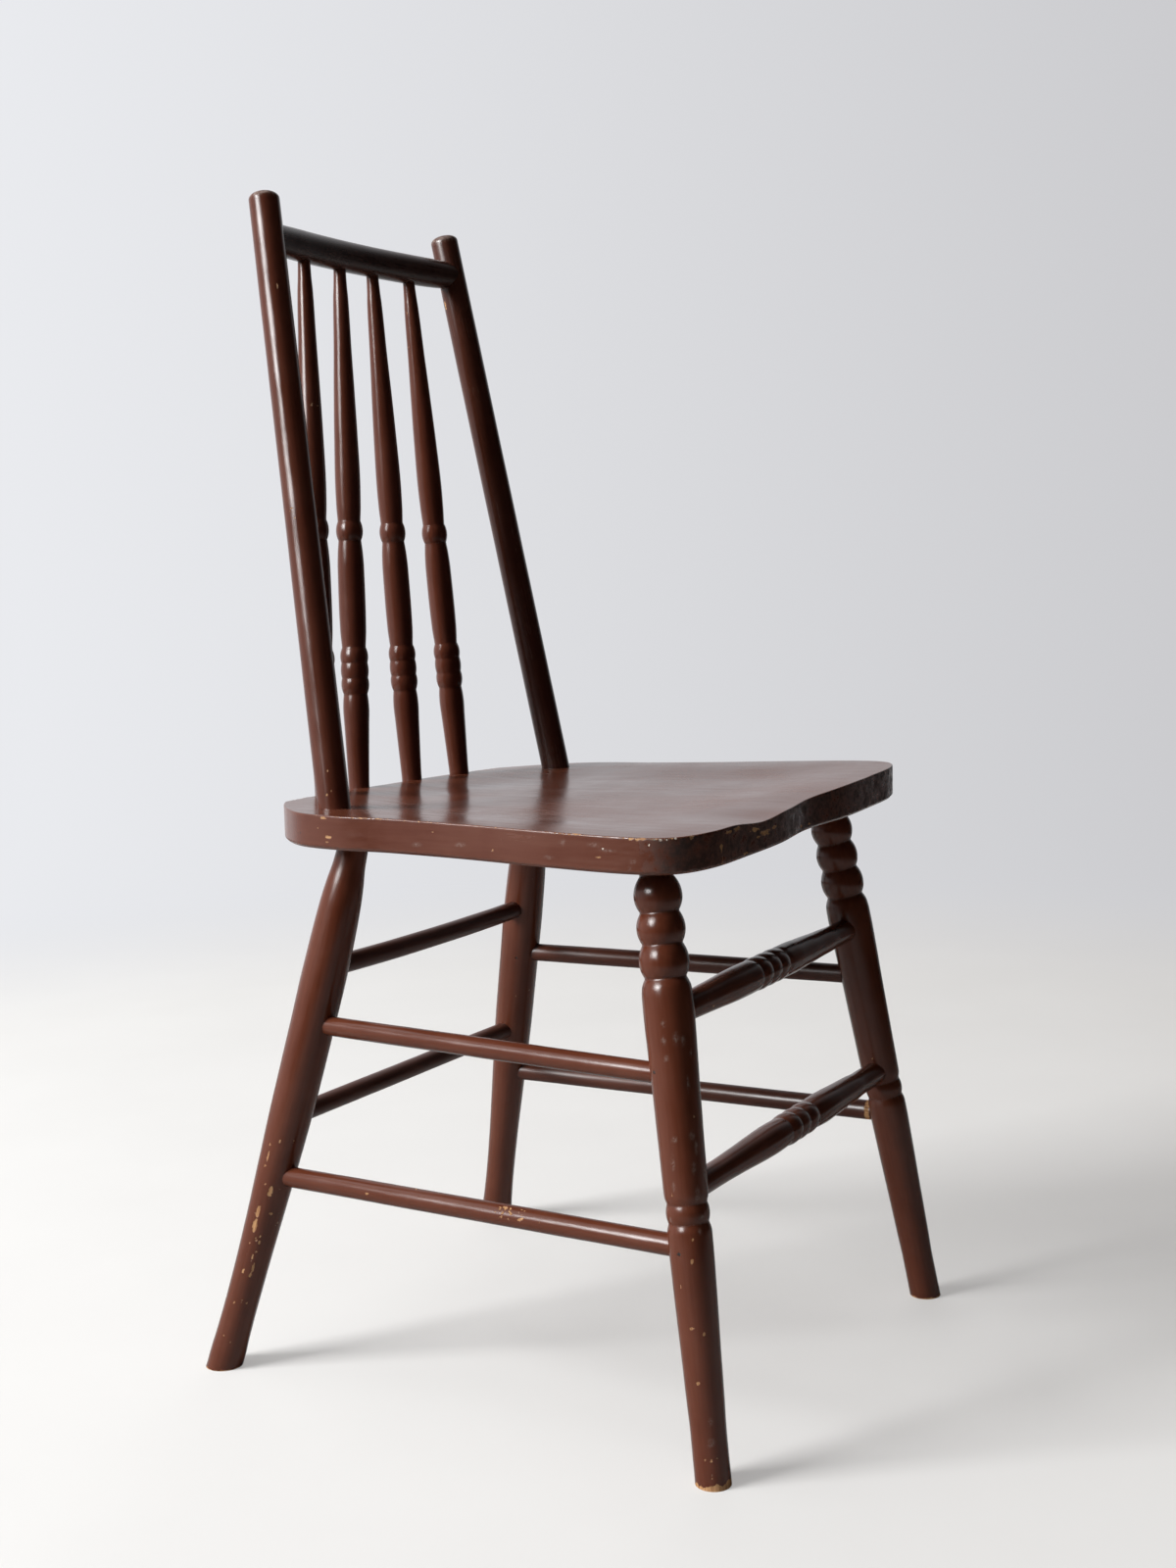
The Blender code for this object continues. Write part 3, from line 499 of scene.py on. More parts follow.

# %% [markdown]
# Mixing a finish
#
# Each wooden piece takes its finish from the same recipe: film of paint, then grime with painted shade,
# then scuffs, then the flakes down to bare wood, with a low bump for the brush marks and a step down at
# each flake.
# Turned pieces carry an attribute that says where a point was on the lathe, so streaks follow a leaning
# leg. The plank reads its plain object coordinates, and its streaks run from front to back with the
# grain.

# %% Enamel recipe
# The first colour darkens the grooves, as dirt together with painted shade, and lays painted shade on the
# seat's front face.
GRIME_AND_SHADE_COLOUR = (0.018, 0.008, 0.005, 1.0)
# The pit colour: dark dots on the seat, and painted shade round the brad holes.
PIT_COLOUR = (0.006, 0.004, 0.004, 1.0)
SCUFF_COLOUR = (0.36, 0.31, 0.27, 1.0)
PRIMER_COLOUR = (0.62, 0.54, 0.45, 1.0)
DIRT_SHINE = 0.3
DIRT_ROUGHNESS = 0.72
PAINT_THICKNESS = 0.00025
Enamel = namedtuple("Enamel", "fresh faded smoothest roughest streaks specks bump sheen")


def on_the_lathe(tree):
    return add_node(tree, "ShaderNodeAttribute", attribute_name="lathe_place").outputs["Vector"]


def enamel_finish(name, look, place_of, stretch):
    material, tree, shader = new_finish(name)
    place = place_of(tree)
    film = add_node(tree, "ShaderNodeGroup",
                    {"Place": place, "Stretch": stretch, "Fresh": look.fresh, "Faded": look.faded,
                     "Streaks": look.streaks, "Smoothest": look.smoothest, "Roughest": look.roughest},
                    node_tree=paint_film).outputs
    wood = add_node(tree, "ShaderNodeGroup", {"Place": place, "Stretch": stretch}, node_tree=bare_wood)

    def wear(group, mark, **values):
        """Where one kind of wear lies, from the number painted on the piece's own mesh."""
        amount = add_node(tree, "ShaderNodeAttribute", attribute_name=mark).outputs["Fac"]
        return add_node(tree, "ShaderNodeGroup", {"Place": place, "Amount": amount, **values},
                        node_tree=group).outputs["Mask"]

    flakes = wear(flaked_spots, "flakes", Specks=look.specks)
    primer = wear(flaked_spots, "primer", Specks=0.0, Size=560.0)
    # Darker and duller: in the grooves dirt together with painted shade, on the seat's front face painted
    # shade.
    grime_and_shade = wear(broken_patch, "grime_and_shade", Strength=1.0)
    scuffs = wear(broken_patch, "scuffs", Size=340.0, Strength=0.5)
    pits = wear(flaked_spots, "pits", Specks=0.0, Ragged=0.2)
    colour = film["Color"]
    for mask, over in ((grime_and_shade, GRIME_AND_SHADE_COLOUR), (scuffs, SCUFF_COLOUR), (flakes, wood.outputs["Color"]),
                       (primer, PRIMER_COLOUR), (pits, PIT_COLOUR)):
        colour = blend(tree, mask, colour, over)
    open_wood = maths(tree, "MAXIMUM", flakes, primer)
    dull = maths(tree, "MAXIMUM", open_wood, maths(tree, "MAXIMUM", grime_and_shade, scuffs))
    brushed = add_node(tree, "ShaderNodeBump", {"Height": film["Height"], "Strength": 1.0,
                                                "Distance": look.bump})
    stepped = add_node(tree, "ShaderNodeBump", {"Height": maths(tree, "SUBTRACT", 1.0, open_wood),
                                                "Strength": 1.0, "Distance": PAINT_THICKNESS,
                                                "Normal": brushed.outputs["Normal"]})
    rough = blend(tree, dull, film["Roughness"], DIRT_ROUGHNESS, "FLOAT")
    shine = blend(tree, dull, look.sheen, look.sheen * DIRT_SHINE, "FLOAT")
    feed(tree, shader, {"Base Color": colour, "Normal": stepped.outputs["Normal"], "Roughness": rough,
                        "Specular IOR Level": shine})
    return material


print("layers: film, grime, scuffs, flakes, primer, pits")

# %% [markdown]
# One paint, six coats
#
# The finishes differ a little from place to place. The seat is the most worn and the glossiest,
# polished by sitting. The legs are a warmer brown. The back is the same brown, with finer streaks. The
# rail is nearly black, from hands. The sitter's left post is a darker, duller copy of the back's paint:
# painted shade, for the side of the chair away from the windows. The rods at the left and the rear are a
# shade darker and duller too.

# %% Enamels
ALONG_LATHE = (1.0, 1.0, 0.05)
ALONG_PLANK = (1.0, 0.05, 1.0)
LOOKS = {
    "leg": Enamel((0.088, 0.022, 0.010, 1.0), (0.114, 0.033, 0.017, 1.0),
                  0.14, 0.26, 420.0, 0.60, 0.00010, 0.30),
    "back": Enamel((0.072, 0.019, 0.010, 1.0), (0.096, 0.028, 0.016, 1.0),
                   0.12, 0.24, 480.0, 0.50, 0.00009, 0.34),
    # The sitter's left post: a darker copy of the back's paint, as painted shade.
    "shaded_back": Enamel((0.050, 0.014, 0.008, 1.0), (0.070, 0.022, 0.013, 1.0),
                       0.17, 0.32, 480.0, 0.50, 0.00009, 0.34),
    "dim_rod": Enamel((0.056, 0.016, 0.009, 1.0), (0.078, 0.024, 0.014, 1.0),
                      0.28, 0.44, 420.0, 0.40, 0.00010, 0.22),
    "rail": Enamel((0.030, 0.012, 0.009, 1.0), (0.054, 0.021, 0.014, 1.0),
                   0.20, 0.36, 420.0, 0.40, 0.00010, 0.40),
    "seat": Enamel((0.090, 0.022, 0.010, 1.0), (0.116, 0.034, 0.017, 1.0),
                   0.17, 0.29, 260.0, 0.40, 0.00010, 0.50),
}

enamels = {}
for name, look in LOOKS.items():
    place_of, stretch = (object_place, ALONG_PLANK) if name == "seat" else (on_the_lathe, ALONG_LATHE)
    enamels[name] = enamel_finish(name + "_enamel_finish", look, place_of, stretch)
print("finishes:", [material.name for material in enamels.values()])

# %% [markdown]
# Where the plank lies
#
# Everything else is placed from the seat. The plank leans back about half a degree, and it has twisted
# a little as it aged, so its underside is written as a height that changes across and along.

# %% Seat sizes
SIDES = {"right": -1, "left": 1}
SEAT_HALF_WIDTH = 0.2005
SEAT_FRONT = 0.2085
SEAT_BACK = 0.1990
SEAT_UNDERSIDE_HEIGHT = 0.4168
SEAT_THICKNESS = 0.0249
SEAT_TILT = 0.0094
SEAT_WIND_RISE = 0.0055
WIND_CENTRE = 0.0507


def underside_height(x, y):
    twist = SEAT_WIND_RISE * (x / SEAT_HALF_WIDTH) * (WIND_CENTRE - y) / SEAT_FRONT
    return SEAT_UNDERSIDE_HEIGHT - SEAT_TILT * y + twist


def blank_top_height(x, y):
    return underside_height(x, y) + SEAT_THICKNESS


print("seat top at its middle, before the dish:", round(1000.0 * blank_top_height(0.0, 0.0), 1), "mm")

# %% [markdown]
# Lines in space
#
# A turned part is a round profile on a straight line, with sometimes a slight bend. So each piece first
# gets its line: where it starts, where it ends, and how far its middle strays.

# %% Lines
Line = namedtuple("Line", "start end bend")
NO_BEND = Vector((0.0, 0.0, 0.0))
FRONT_HEAD_FROM_SIDE = {"right": 0.0488, "left": 0.0481}
FRONT_HEAD_FROM_EDGE = {"right": 0.0522, "left": 0.0587}
FRONT_SPLAY_OUT = {"right": 0.0396, "left": 0.0381}
FRONT_SPLAY_FORWARD = {"right": 0.0562, "left": 0.0690}
REAR_HEAD_FROM_SIDE = {"right": 0.0720, "left": 0.0729}
REAR_HEAD_FROM_EDGE = {"right": 0.0828, "left": 0.0816}
REAR_SPLAY_OUT = {"right": 0.0643, "left": 0.0661}
REAR_SPLAY_BACK = {"right": 0.1002, "left": 0.0975}
REAR_LEG_BOW = {"right": -0.0040, "left": 0.0}


def length_of(line):
    return (line.end - line.start).length


def way_of(line):
    return (line.end - line.start).normalized()


def point_on(line, share):
    return line.start.lerp(line.end, share) + line.bend * (4.0 * share * (1.0 - share))


def point_at_height(line, height):
    return point_on(line, (height - line.start.z) / (line.end.z - line.start.z))


def leg_line(end, side):
    sign = SIDES[side]
    if end == "front":
        head_x = sign * (SEAT_HALF_WIDTH - FRONT_HEAD_FROM_SIDE[side])
        head_y = -SEAT_FRONT + FRONT_HEAD_FROM_EDGE[side]
        foot = Vector((head_x + sign * FRONT_SPLAY_OUT[side], head_y - FRONT_SPLAY_FORWARD[side], 0.0))
        bend = NO_BEND
    else:
        head_x = sign * (SEAT_HALF_WIDTH - REAR_HEAD_FROM_SIDE[side])
        head_y = SEAT_BACK - REAR_HEAD_FROM_EDGE[side]
        foot = Vector((head_x + sign * REAR_SPLAY_OUT[side], head_y + REAR_SPLAY_BACK[side], 0.0))
        bend = Vector((0.0, REAR_LEG_BOW[side], 0.0))
    return Line(foot, Vector((head_x, head_y, underside_height(head_x, head_y))), bend)


leg_lines = {(end, side): leg_line(end, side) for end in ("front", "rear") for side in SIDES}
print({key: round(length_of(line), 4) for key, line in leg_lines.items()})

# %% [markdown]
# Profiles
#
# A turner works from a few measured diameters and cuts fair curves between them. Here a profile is a
# list of (distance along the line, radius). Long swells run smoothly through their points, and beads
# are true arcs between two grooves. A little paint has settled in each groove, so the arc starts just
# above it.

# %% Profile helpers
FINE_STEP = 0.0018


def smooth(share):
    share = min(max(share, 0.0), 1.0)
    return share * share * (3.0 - 2.0 * share)


def slopes_of(points):
    """Slope at each point of a curve that never overshoots its points."""
    rises = [(b[1] - a[1]) / (b[0] - a[0]) for a, b in zip(points, points[1:])]
    slopes = [rises[0]]
    for before, after in zip(rises, rises[1:]):
        slopes.append(2.0 * before * after / (before + after) if before * after > 0.0 else 0.0)
    return slopes + [rises[-1]]


def eased(points):
    """A fair curve through measured points, as close-set (distance, radius) pairs."""
    slopes = slopes_of(points)
    made = []
    for index, (low, high) in enumerate(zip(points, points[1:])):
        span = high[0] - low[0]
        count = max(1, math.ceil(span / FINE_STEP))
        for step in range(count):
            t = step / count
            near = (1.0 + 2.0 * t) * (1.0 - t) ** 2 * low[1] + t * (1.0 - t) ** 2 * span * slopes[index]
            far = t * t * (3.0 - 2.0 * t) * high[1] + t * t * (t - 1.0) * span * slopes[index + 1]
            made.append((low[0] + t * span, near + far))
    return made + [points[-1]]


def bead(low, high, crown, count=12):
    """A round bead between two grooves, each (distance, radius). The grooves themselves are left out."""
    half = (high[0] - low[0]) / 2.0
    rise = crown - (low[1] + high[1]) / 2.0
    arc = (half * half + rise * rise) / (2.0 * rise)
    made = []
    for index in range(1, count + 1):
        share = 0.5 - 0.5 * math.cos(math.pi * index / (count + 1))
        across = (2.0 * share - 1.0) * half
        height = math.sqrt(arc * arc - across * across) - (arc - rise)
        made.append((low[0] + share * (high[0] - low[0]), low[1] + share * (high[1] - low[1]) + height))
    return made


curve = eased([(0.0, 0.012), (0.05, 0.014), (0.09, 0.012)])
print("a curve through three diameters has", len(curve), "points")

# %% [markdown]
# Paint in the grooves
#
# Three or four coats of enamel don't leave a sharp groove sharp. They round it off from the inside, and
# the little hollow catches the light of the window. To work out how full a groove gets, roll a small
# ball along the outside of the profile: paint stays wherever the ball can't reach.

# %% Settle the paint
GROOVE_BALL = 0.0015
GROOVE_STEP = 0.00025
THINNEST_FILL = 0.000004


def settle_paint(stations):
    """Fill every groove of a profile as far as a ball of GROOVE_BALL can't reach, in close-set stations."""
    distances, radii = np.array(stations).T
    grid = np.arange(distances[0], distances[-1], GROOVE_STEP)
    bare = np.interp(grid, distances, radii)
    reach = int(GROOVE_BALL / GROOVE_STEP)
    shifts = range(-reach, reach + 1)
    heights = [math.sqrt(GROOVE_BALL ** 2 - (shift * GROOVE_STEP) ** 2) for shift in shifts]
    padded = np.pad(bare, 2 * reach, mode="edge")
    rolled = np.max([np.roll(padded, shift) + height for shift, height in zip(shifts, heights)], axis=0)
    filled = np.min([np.roll(rolled, shift) - height for shift, height in zip(shifts, heights)], axis=0)
    filled = filled[2 * reach:-2 * reach]
    wet = filled - bare > THINNEST_FILL
    added = [(float(place), float(radius)) for place, radius, here in zip(grid, filled, wet) if here]
    kept = [station for station in stations if not np.any(wet & (np.abs(grid - station[0]) < GROOVE_STEP))]
    return sorted(kept + added)


groove = settle_paint([(0.0, 0.015), (0.004, 0.012), (0.008, 0.015)])
depth_left = 0.015 - min(radius for distance, radius in groove)
print("a groove 3 mm deep is filled to", round(1000.0 * depth_left, 2), "mm")

# %% [markdown]
# A lathe made of nodes
#
# All nineteen turned parts follow one rule: a profile spun round its own axis, bent a touch, and cut by
# hand. That is a job for Geometry Nodes. The tree takes the profile as a chain of points on the Z axis,
# each with a radius, and sweeps a circle along it. It then closes the ends, lets the middle stray, adds
# the small flats and swells that a hand-held gouge leaves, and remembers each point's place on the
# lathe for the paint.

# %% Geometry Nodes: lathe
WELD = 0.00002
SEED_STEP = (0.37, 0.71, 1.13)
GOUGE_STRETCH = (1.0, 1.0, 0.3)
GOUGE_SCALE = 60.0


def make_lathe():
    tree, given, result = new_group(
        "Lathe",
        {"Profile": ("Geometry", None), "Sides": ("Int", 64), "Length": ("Float", 0.4),
         "Bend": ("Vector", (0.0, 0.0, 0.0)), "Hand": ("Float", 0.0002), "Seed": ("Float", 1.0),
         "Finish": ("Material", None)},
        {"Wood": "Geometry"}, "GeometryNodeTree")
    chain = add_node(tree, "GeometryNodeMeshToCurve", {"Mesh": given["Profile"]})
    radius = add_node(tree, "GeometryNodeInputNamedAttribute", {"Name": "turned_radius"}, data_type="FLOAT")
    circle = add_node(tree, "GeometryNodeCurvePrimitiveCircle", {"Resolution": given["Sides"], "Radius": 1.0})
    swept = add_node(tree, "GeometryNodeCurveToMesh",
                     {"Curve": chain.outputs["Curve"], "Profile Curve": circle.outputs["Curve"],
                      "Scale": radius.outputs["Attribute"], "Fill Caps": True})
    closed = add_node(tree, "GeometryNodeMergeByDistance",
                      {"Geometry": swept.outputs["Mesh"], "Distance": WELD})
    here = add_node(tree, "GeometryNodeInputPosition").outputs["Position"]
    place = vector_maths(tree, "ADD", here, scaled(tree, SEED_STEP, given["Seed"]))
    wood = add_node(tree, "GeometryNodeStoreNamedAttribute",
                    {"Geometry": closed.outputs["Geometry"], "Name": "lathe_place", "Value": place},
                    data_type="FLOAT_VECTOR", domain="POINT").outputs["Geometry"]
    upward = add_node(tree, "ShaderNodeSeparateXYZ", {"Vector": here}).outputs["Z"]
    share = maths(tree, "DIVIDE", upward, given["Length"])
    arch = maths(tree, "MULTIPLY", share, maths(tree, "SUBTRACT", 1.0, share))
    bowed = scaled(tree, given["Bend"], maths(tree, "MULTIPLY", arch, 4.0))
    outward = vector_maths(tree, "NORMALIZE", vector_maths(tree, "MULTIPLY", here, (1.0, 1.0, 0.0)))
    gouge = clouds_of(tree, vector_maths(tree, "MULTIPLY", place, GOUGE_STRETCH), GOUGE_SCALE, 2.0)
    depth = maths(tree, "MULTIPLY", maths(tree, "SUBTRACT", gouge, 0.5), given["Hand"])
    moved = vector_maths(tree, "ADD", bowed, scaled(tree, outward, depth))
    for kind, values in (("SetPosition", {"Offset": moved}), ("SetShadeSmooth", {"Shade Smooth": True}),
                         ("RealizeInstances", {}), ("SetMaterial", {"Material": given["Finish"]})):
        wood = add_node(tree, "GeometryNode" + kind, {"Geometry": wood, **values}).outputs["Geometry"]
    feed(tree, result, {"Wood": wood})
    return tree


lathe = make_lathe()
print("lathe takes", [socket.name for socket in lathe.interface.items_tree if socket.in_out == "INPUT"])

# %% [markdown]
# Turning one piece
#
# The profile becomes a plain chain of points, the lathe's modifier gets its values, and the result is
# kept as a mesh. Only then is that mesh moved and turned onto its line, so the object itself stays at
# the origin.

# %% Turn a piece
MARKS = ("flakes", "primer", "scuffs", "pits", "grime_and_shade")
GROOVE_GRIME_AND_SHADE = 0.4
BESIDE_FROM = 0.0015
BESIDE_TO = 0.0035
DEEP_GROOVE = 0.0009
pieces = {}
piece_lines = {}


def set_inputs(modifier, values):
    for socket in modifier.node_group.interface.items_tree:
        if socket.in_out == "INPUT" and socket.name in values:
            modifier[socket.identifier] = values[socket.name]


def add_marks(mesh):
    """Give a mesh its wear numbers, all at nothing. A turned one already has its grime and painted shade in
    the grooves.
    """
    for name in MARKS:
        if name not in mesh.attributes:
            mesh.attributes.new(name, "FLOAT", "POINT")


def hollowness(stations):
    """How deep in a groove each station lies, by comparing it with its neighbours some 2.5 mm away."""
    amounts = []
    for distance, radius in stations:
        beside = [other for place, other in stations if BESIDE_FROM < abs(place - distance) < BESIDE_TO]
        below = (sum(beside) / len(beside) - radius) if beside else 0.0
        # The deeper a station lies in its groove, the darker and duller its paint: dirt together with painted
        # shade.
        amounts.append(GROOVE_GRIME_AND_SHADE * min(max(below / DEEP_GROOVE, 0.0), 1.0))
    return amounts


def bake(piece):
    """Keep what a piece's modifier makes as its own mesh."""
    mesh = bpy.data.meshes.new_from_object(piece.evaluated_get(bpy.context.evaluated_depsgraph_get()))
    piece.modifiers.clear()
    piece.data = mesh
    return mesh


def turn(name, line, stations, finish, sides=88, hand=0.0003):
    """Spin a profile round a line. Stations are (distance from the line's start, radius), going up."""
    chain = bpy.data.meshes.new(name + "_profile")
    chain.from_pydata([(0.0, 0.0, distance) for distance, radius in stations],
                      [(index, index + 1) for index in range(len(stations) - 1)], [])
    for attribute, values in (("turned_radius", [radius for distance, radius in stations]),
                              ("grime_and_shade", hollowness(stations))):
        chain.attributes.new(attribute, "FLOAT", "POINT").data.foreach_set("value", values)
    piece = put_in_scene(name, chain)
    turned_by = way_of(line).to_track_quat("Z", "Y")
    modifier = piece.modifiers.new("Lathe", "NODES")
    modifier.node_group = lathe
    set_inputs(modifier, {"Sides": sides, "Length": length_of(line), "Bend": turned_by.inverted() @ line.bend,
                          "Hand": hand, "Seed": float(len(pieces) + 1), "Finish": finish})
    mesh = bake(piece)
    mesh.name = name
    mesh.transform(Matrix.Translation(line.start) @ turned_by.to_matrix().to_4x4())
    add_marks(mesh)
    pieces[name] = piece
    piece_lines[name] = line
    return piece


print("marks on every piece:", MARKS)

# %% [markdown]
# Front legs
#
# A front leg is the showpiece of the chair: a plain foot, one ring, a long swell, a shoulder, then
# three balls stacked under the seat. The foot is cut level with the floor, so its lowest ring is a
# slanted ellipse.

# %% Front leg profile
FLOOR_TRIM = 0.0120
HEAD_IN_SEAT = 0.0060
FRONT_FOOT_RADIUS = 0.0124
FRONT_LEG_FOOT = ((0.034, 0.0123), (0.055, 0.0129), (0.095, 0.0138), (0.136, 0.01485), (0.160, 0.0153),
                  (0.1695, 0.0152))
LEG_RING_LOW = (0.1755, 0.0137)
LEG_RING_HIGH = (0.1885, 0.0137)
LEG_RING_CROWN = 0.01495
FRONT_LEG_SWELL = ((0.040, 0.0151), (0.290, 0.01575), (0.580, 0.01645), (0.815, 0.0173), (0.930, 0.0176))
BALLS_BELOW_SEAT = {"right": 0.0786, "left": 0.0820}
LEG_SHOULDER = ((0.0125, 0.0175), (0.0065, 0.0169), (0.0025, 0.0155))
BALL_NECKS = (0.0141, 0.0137, 0.0133, 0.0115)
BALL_CROWNS = (0.0173, 0.0168, 0.0167)
BALL_PITCHES = (0.0230, 0.0218, 0.0245)


def front_leg_stations(line, side):
    length = length_of(line)
    neck = length - BALLS_BELOW_SEAT[side]
    stations = eased([(-FLOOR_TRIM, FRONT_FOOT_RADIUS), *FRONT_LEG_FOOT, LEG_RING_LOW])
    stations += bead(LEG_RING_LOW, LEG_RING_HIGH, LEG_RING_CROWN, 9)
    shoulder = neck - LEG_SHOULDER[0][0]
    swell = [(LEG_RING_HIGH[0] + share * (shoulder - LEG_RING_HIGH[0]), radius)
             for share, radius in FRONT_LEG_SWELL]
    stations += eased([LEG_RING_HIGH, *swell, *[(neck - below, radius) for below, radius in LEG_SHOULDER],
                       (neck, BALL_NECKS[0])])
    low = (neck, BALL_NECKS[0])
    for pitch, radius, crown in zip(BALL_PITCHES, BALL_NECKS[1:], BALL_CROWNS):
        high = (low[0] + pitch, radius)
        stations += bead(low, high, crown, 16) + [high]
        low = high
    return settle_paint(stations + [(length + HEAD_IN_SEAT, BALL_NECKS[-1])])


print("front leg has", len(front_leg_stations(leg_lines["front", "right"], "right")), "stations")

# %% Cut the feet level
SLIVER = 0.00001


def cut_level(piece, line):
    """Slide what hangs below the floor back up along the leg, then merge what landed together."""
    along = way_of(line)
    model = bmesh.new()
    model.from_mesh(piece.data)
    for vertex in model.verts:
        if vertex.co.z < 0.0:
            vertex.co -= along * (vertex.co.z / along.z)
            vertex.co.z = 0.0
    bmesh.ops.remove_doubles(model, verts=model.verts, dist=WELD)
    bmesh.ops.dissolve_degenerate(model, dist=SLIVER, edges=model.edges)
    model.to_mesh(piece.data)
    model.free()


def turn_leg(end, side, stations):
    axis = leg_lines[end, side]
    leg = turn(end + "_leg_" + side, axis, stations, enamels["leg"])
    cut_level(leg, axis)
    print(leg.name, len(leg.data.polygons), "faces")


for leg_side in SIDES:
    turn_leg("front", leg_side, front_leg_stations(leg_lines["front", leg_side], leg_side))

# %% [markdown]
# Rear legs
#
# The rear legs have no beads: one long swell, thickest two thirds of the way up, that slims down to a
# narrow neck under the seat. The sitter's right one has bowed a few millimetres.

# %% Rear legs
REAR_FOOT_RADIUS = 0.01375
REAR_LEG_SWELL = ((0.028, 0.01375), (0.055, 0.0133), (0.120, 0.0129), (0.194, 0.01315), (0.291, 0.01415),
                  (0.388, 0.0155), (0.485, 0.0166), (0.555, 0.0169), (0.650, 0.0171), (0.728, 0.0174),
                  (0.776, 0.01715), (0.825, 0.0167), (0.873, 0.0158), (0.908, 0.0145), (0.944, 0.01255),
                  (0.970, 0.01195))
REAR_NECK_RADIUS = 0.0114


def rear_leg_stations(line):
    length = length_of(line)
    swell = [(share * length, radius) for share, radius in REAR_LEG_SWELL]
    return eased([(-FLOOR_TRIM, REAR_FOOT_RADIUS), *swell, (length, REAR_NECK_RADIUS),
                  (length + HEAD_IN_SEAT, REAR_NECK_RADIUS)])


for leg_side in SIDES:
    turn_leg("rear", leg_side, rear_leg_stations(leg_lines["rear", leg_side]))

# %% [markdown]
# Side and rear stretchers
#
# These six are plain dowels, each run from leg to leg and glued a little way in. The upper rear one
# sags. The left lower one has crept a few millimetres out of the front leg, and shows bare wood there.

# %% Dowels
DOWEL_SIDES = 56
DOWEL_HAND = 0.0004
DOWEL_SWELL = 1.01
SHORT_OF_AXIS = 0.0025
SIDE_UPPER_HEIGHT = {"right": (0.2711, 0.2707), "left": (0.2713, 0.2745)}
SIDE_LOWER_HEIGHT = {"right": (0.1527, 0.1556), "left": (0.1540, 0.1577)}
SIDE_UPPER_RADIUS = {"right": 0.0074, "left": 0.0077}
SIDE_LOWER_RADIUS = {"right": 0.00785, "left": 0.00805}
LOOSE_PULL = 0.0030
REAR_UPPER_HEIGHT = (0.3141, 0.3141)
REAR_LOWER_HEIGHT = (0.1980, 0.1967)
REAR_UPPER_RADIUS = 0.0078
REAR_LOWER_RADIUS = 0.00755
REAR_UPPER_SAG = 0.0020
rod_lines = {}


def rod_between(name, first, second, heights, bend=NO_BEND):
    rod_lines[name] = Line(point_at_height(first, heights[0]), point_at_height(second, heights[1]), bend)
    return rod_lines[name]


def turn_dowel(name, line, radius, pulled=0.0):
    length = length_of(line)
    stations = eased([(SHORT_OF_AXIS, radius), (length / 2.0, radius * DOWEL_SWELL),
                      (length - SHORT_OF_AXIS - pulled, radius)])
    turn(name, line, stations, enamels["leg" if "right" in name else "dim_rod"], DOWEL_SIDES, DOWEL_HAND)


for rod_side in SIDES:
    rear_axis, front_axis = leg_lines["rear", rod_side], leg_lines["front", rod_side]
    for level, heights, radii in (("upper", SIDE_UPPER_HEIGHT, SIDE_UPPER_RADIUS),
                                  ("lower", SIDE_LOWER_HEIGHT, SIDE_LOWER_RADIUS)):
        rod_name = "side_stretcher_" + rod_side + "_" + level
        turn_dowel(rod_name, rod_between(rod_name, rear_axis, front_axis, heights[rod_side]), radii[rod_side],
                   LOOSE_PULL if (rod_side, level) == ("left", "lower") else 0.0)
for level, heights, radius, sag in (("upper", REAR_UPPER_HEIGHT, REAR_UPPER_RADIUS, REAR_UPPER_SAG),
                                    ("lower", REAR_LOWER_HEIGHT, REAR_LOWER_RADIUS, 0.0)):
    rod_name = "rear_stretcher_" + level
    rod_line = rod_between(rod_name, leg_lines["rear", "right"], leg_lines["rear", "left"], heights,
                           Vector((0.0, 0.0, -sag)))
    turn_dowel(rod_name, rod_line, radius)
print("dowels:", len(rod_lines))

# %% [markdown]
# Front stretchers
#
# The two front stretchers face the room, so they are dressed up: three rings near the middle and a
# swell on each side that tapers to the legs.

# %% Front stretchers
RingRod = namedtuple("RingRod", "heights middle grooves crown swells ends")
SWELL_TO_END = 0.015
FRONT_ROD_SIDES = 64
FRONT_RODS = {
    "upper": RingRod((0.3112, 0.3140), 0.1532,
                     ((-0.0232, 0.0115), (-0.0077, 0.0117), (0.0078, 0.0117), (0.0233, 0.0115)), 0.0125,
                     (((0.0050, 0.01195), (0.015, 0.01206), (0.028, 0.0120), (0.042, 0.0117), (0.060, 0.0110),
                       (0.080, 0.0104), (0.100, 0.0099)),
                      ((0.0060, 0.0121), (0.020, 0.01216), (0.036, 0.0116), (0.055, 0.0110), (0.072, 0.0103),
                       (0.090, 0.0099))), (0.0094, 0.0094)),
    "lower": RingRod((0.1927, 0.1939), 0.1757,
                     ((-0.0237, 0.0108), (-0.0077, 0.0112), (0.0072, 0.0110), (0.0243, 0.0106)), 0.0120,
                     (((0.0060, 0.0112), (0.020, 0.0115), (0.034, 0.01125), (0.055, 0.0105), (0.076, 0.0097),
                       (0.102, 0.0091)),
                      ((0.0080, 0.0115), (0.022, 0.01195), (0.034, 0.01175), (0.049, 0.0112), (0.064, 0.0107),
                       (0.083, 0.0102))), (0.0090, 0.0094)),
}


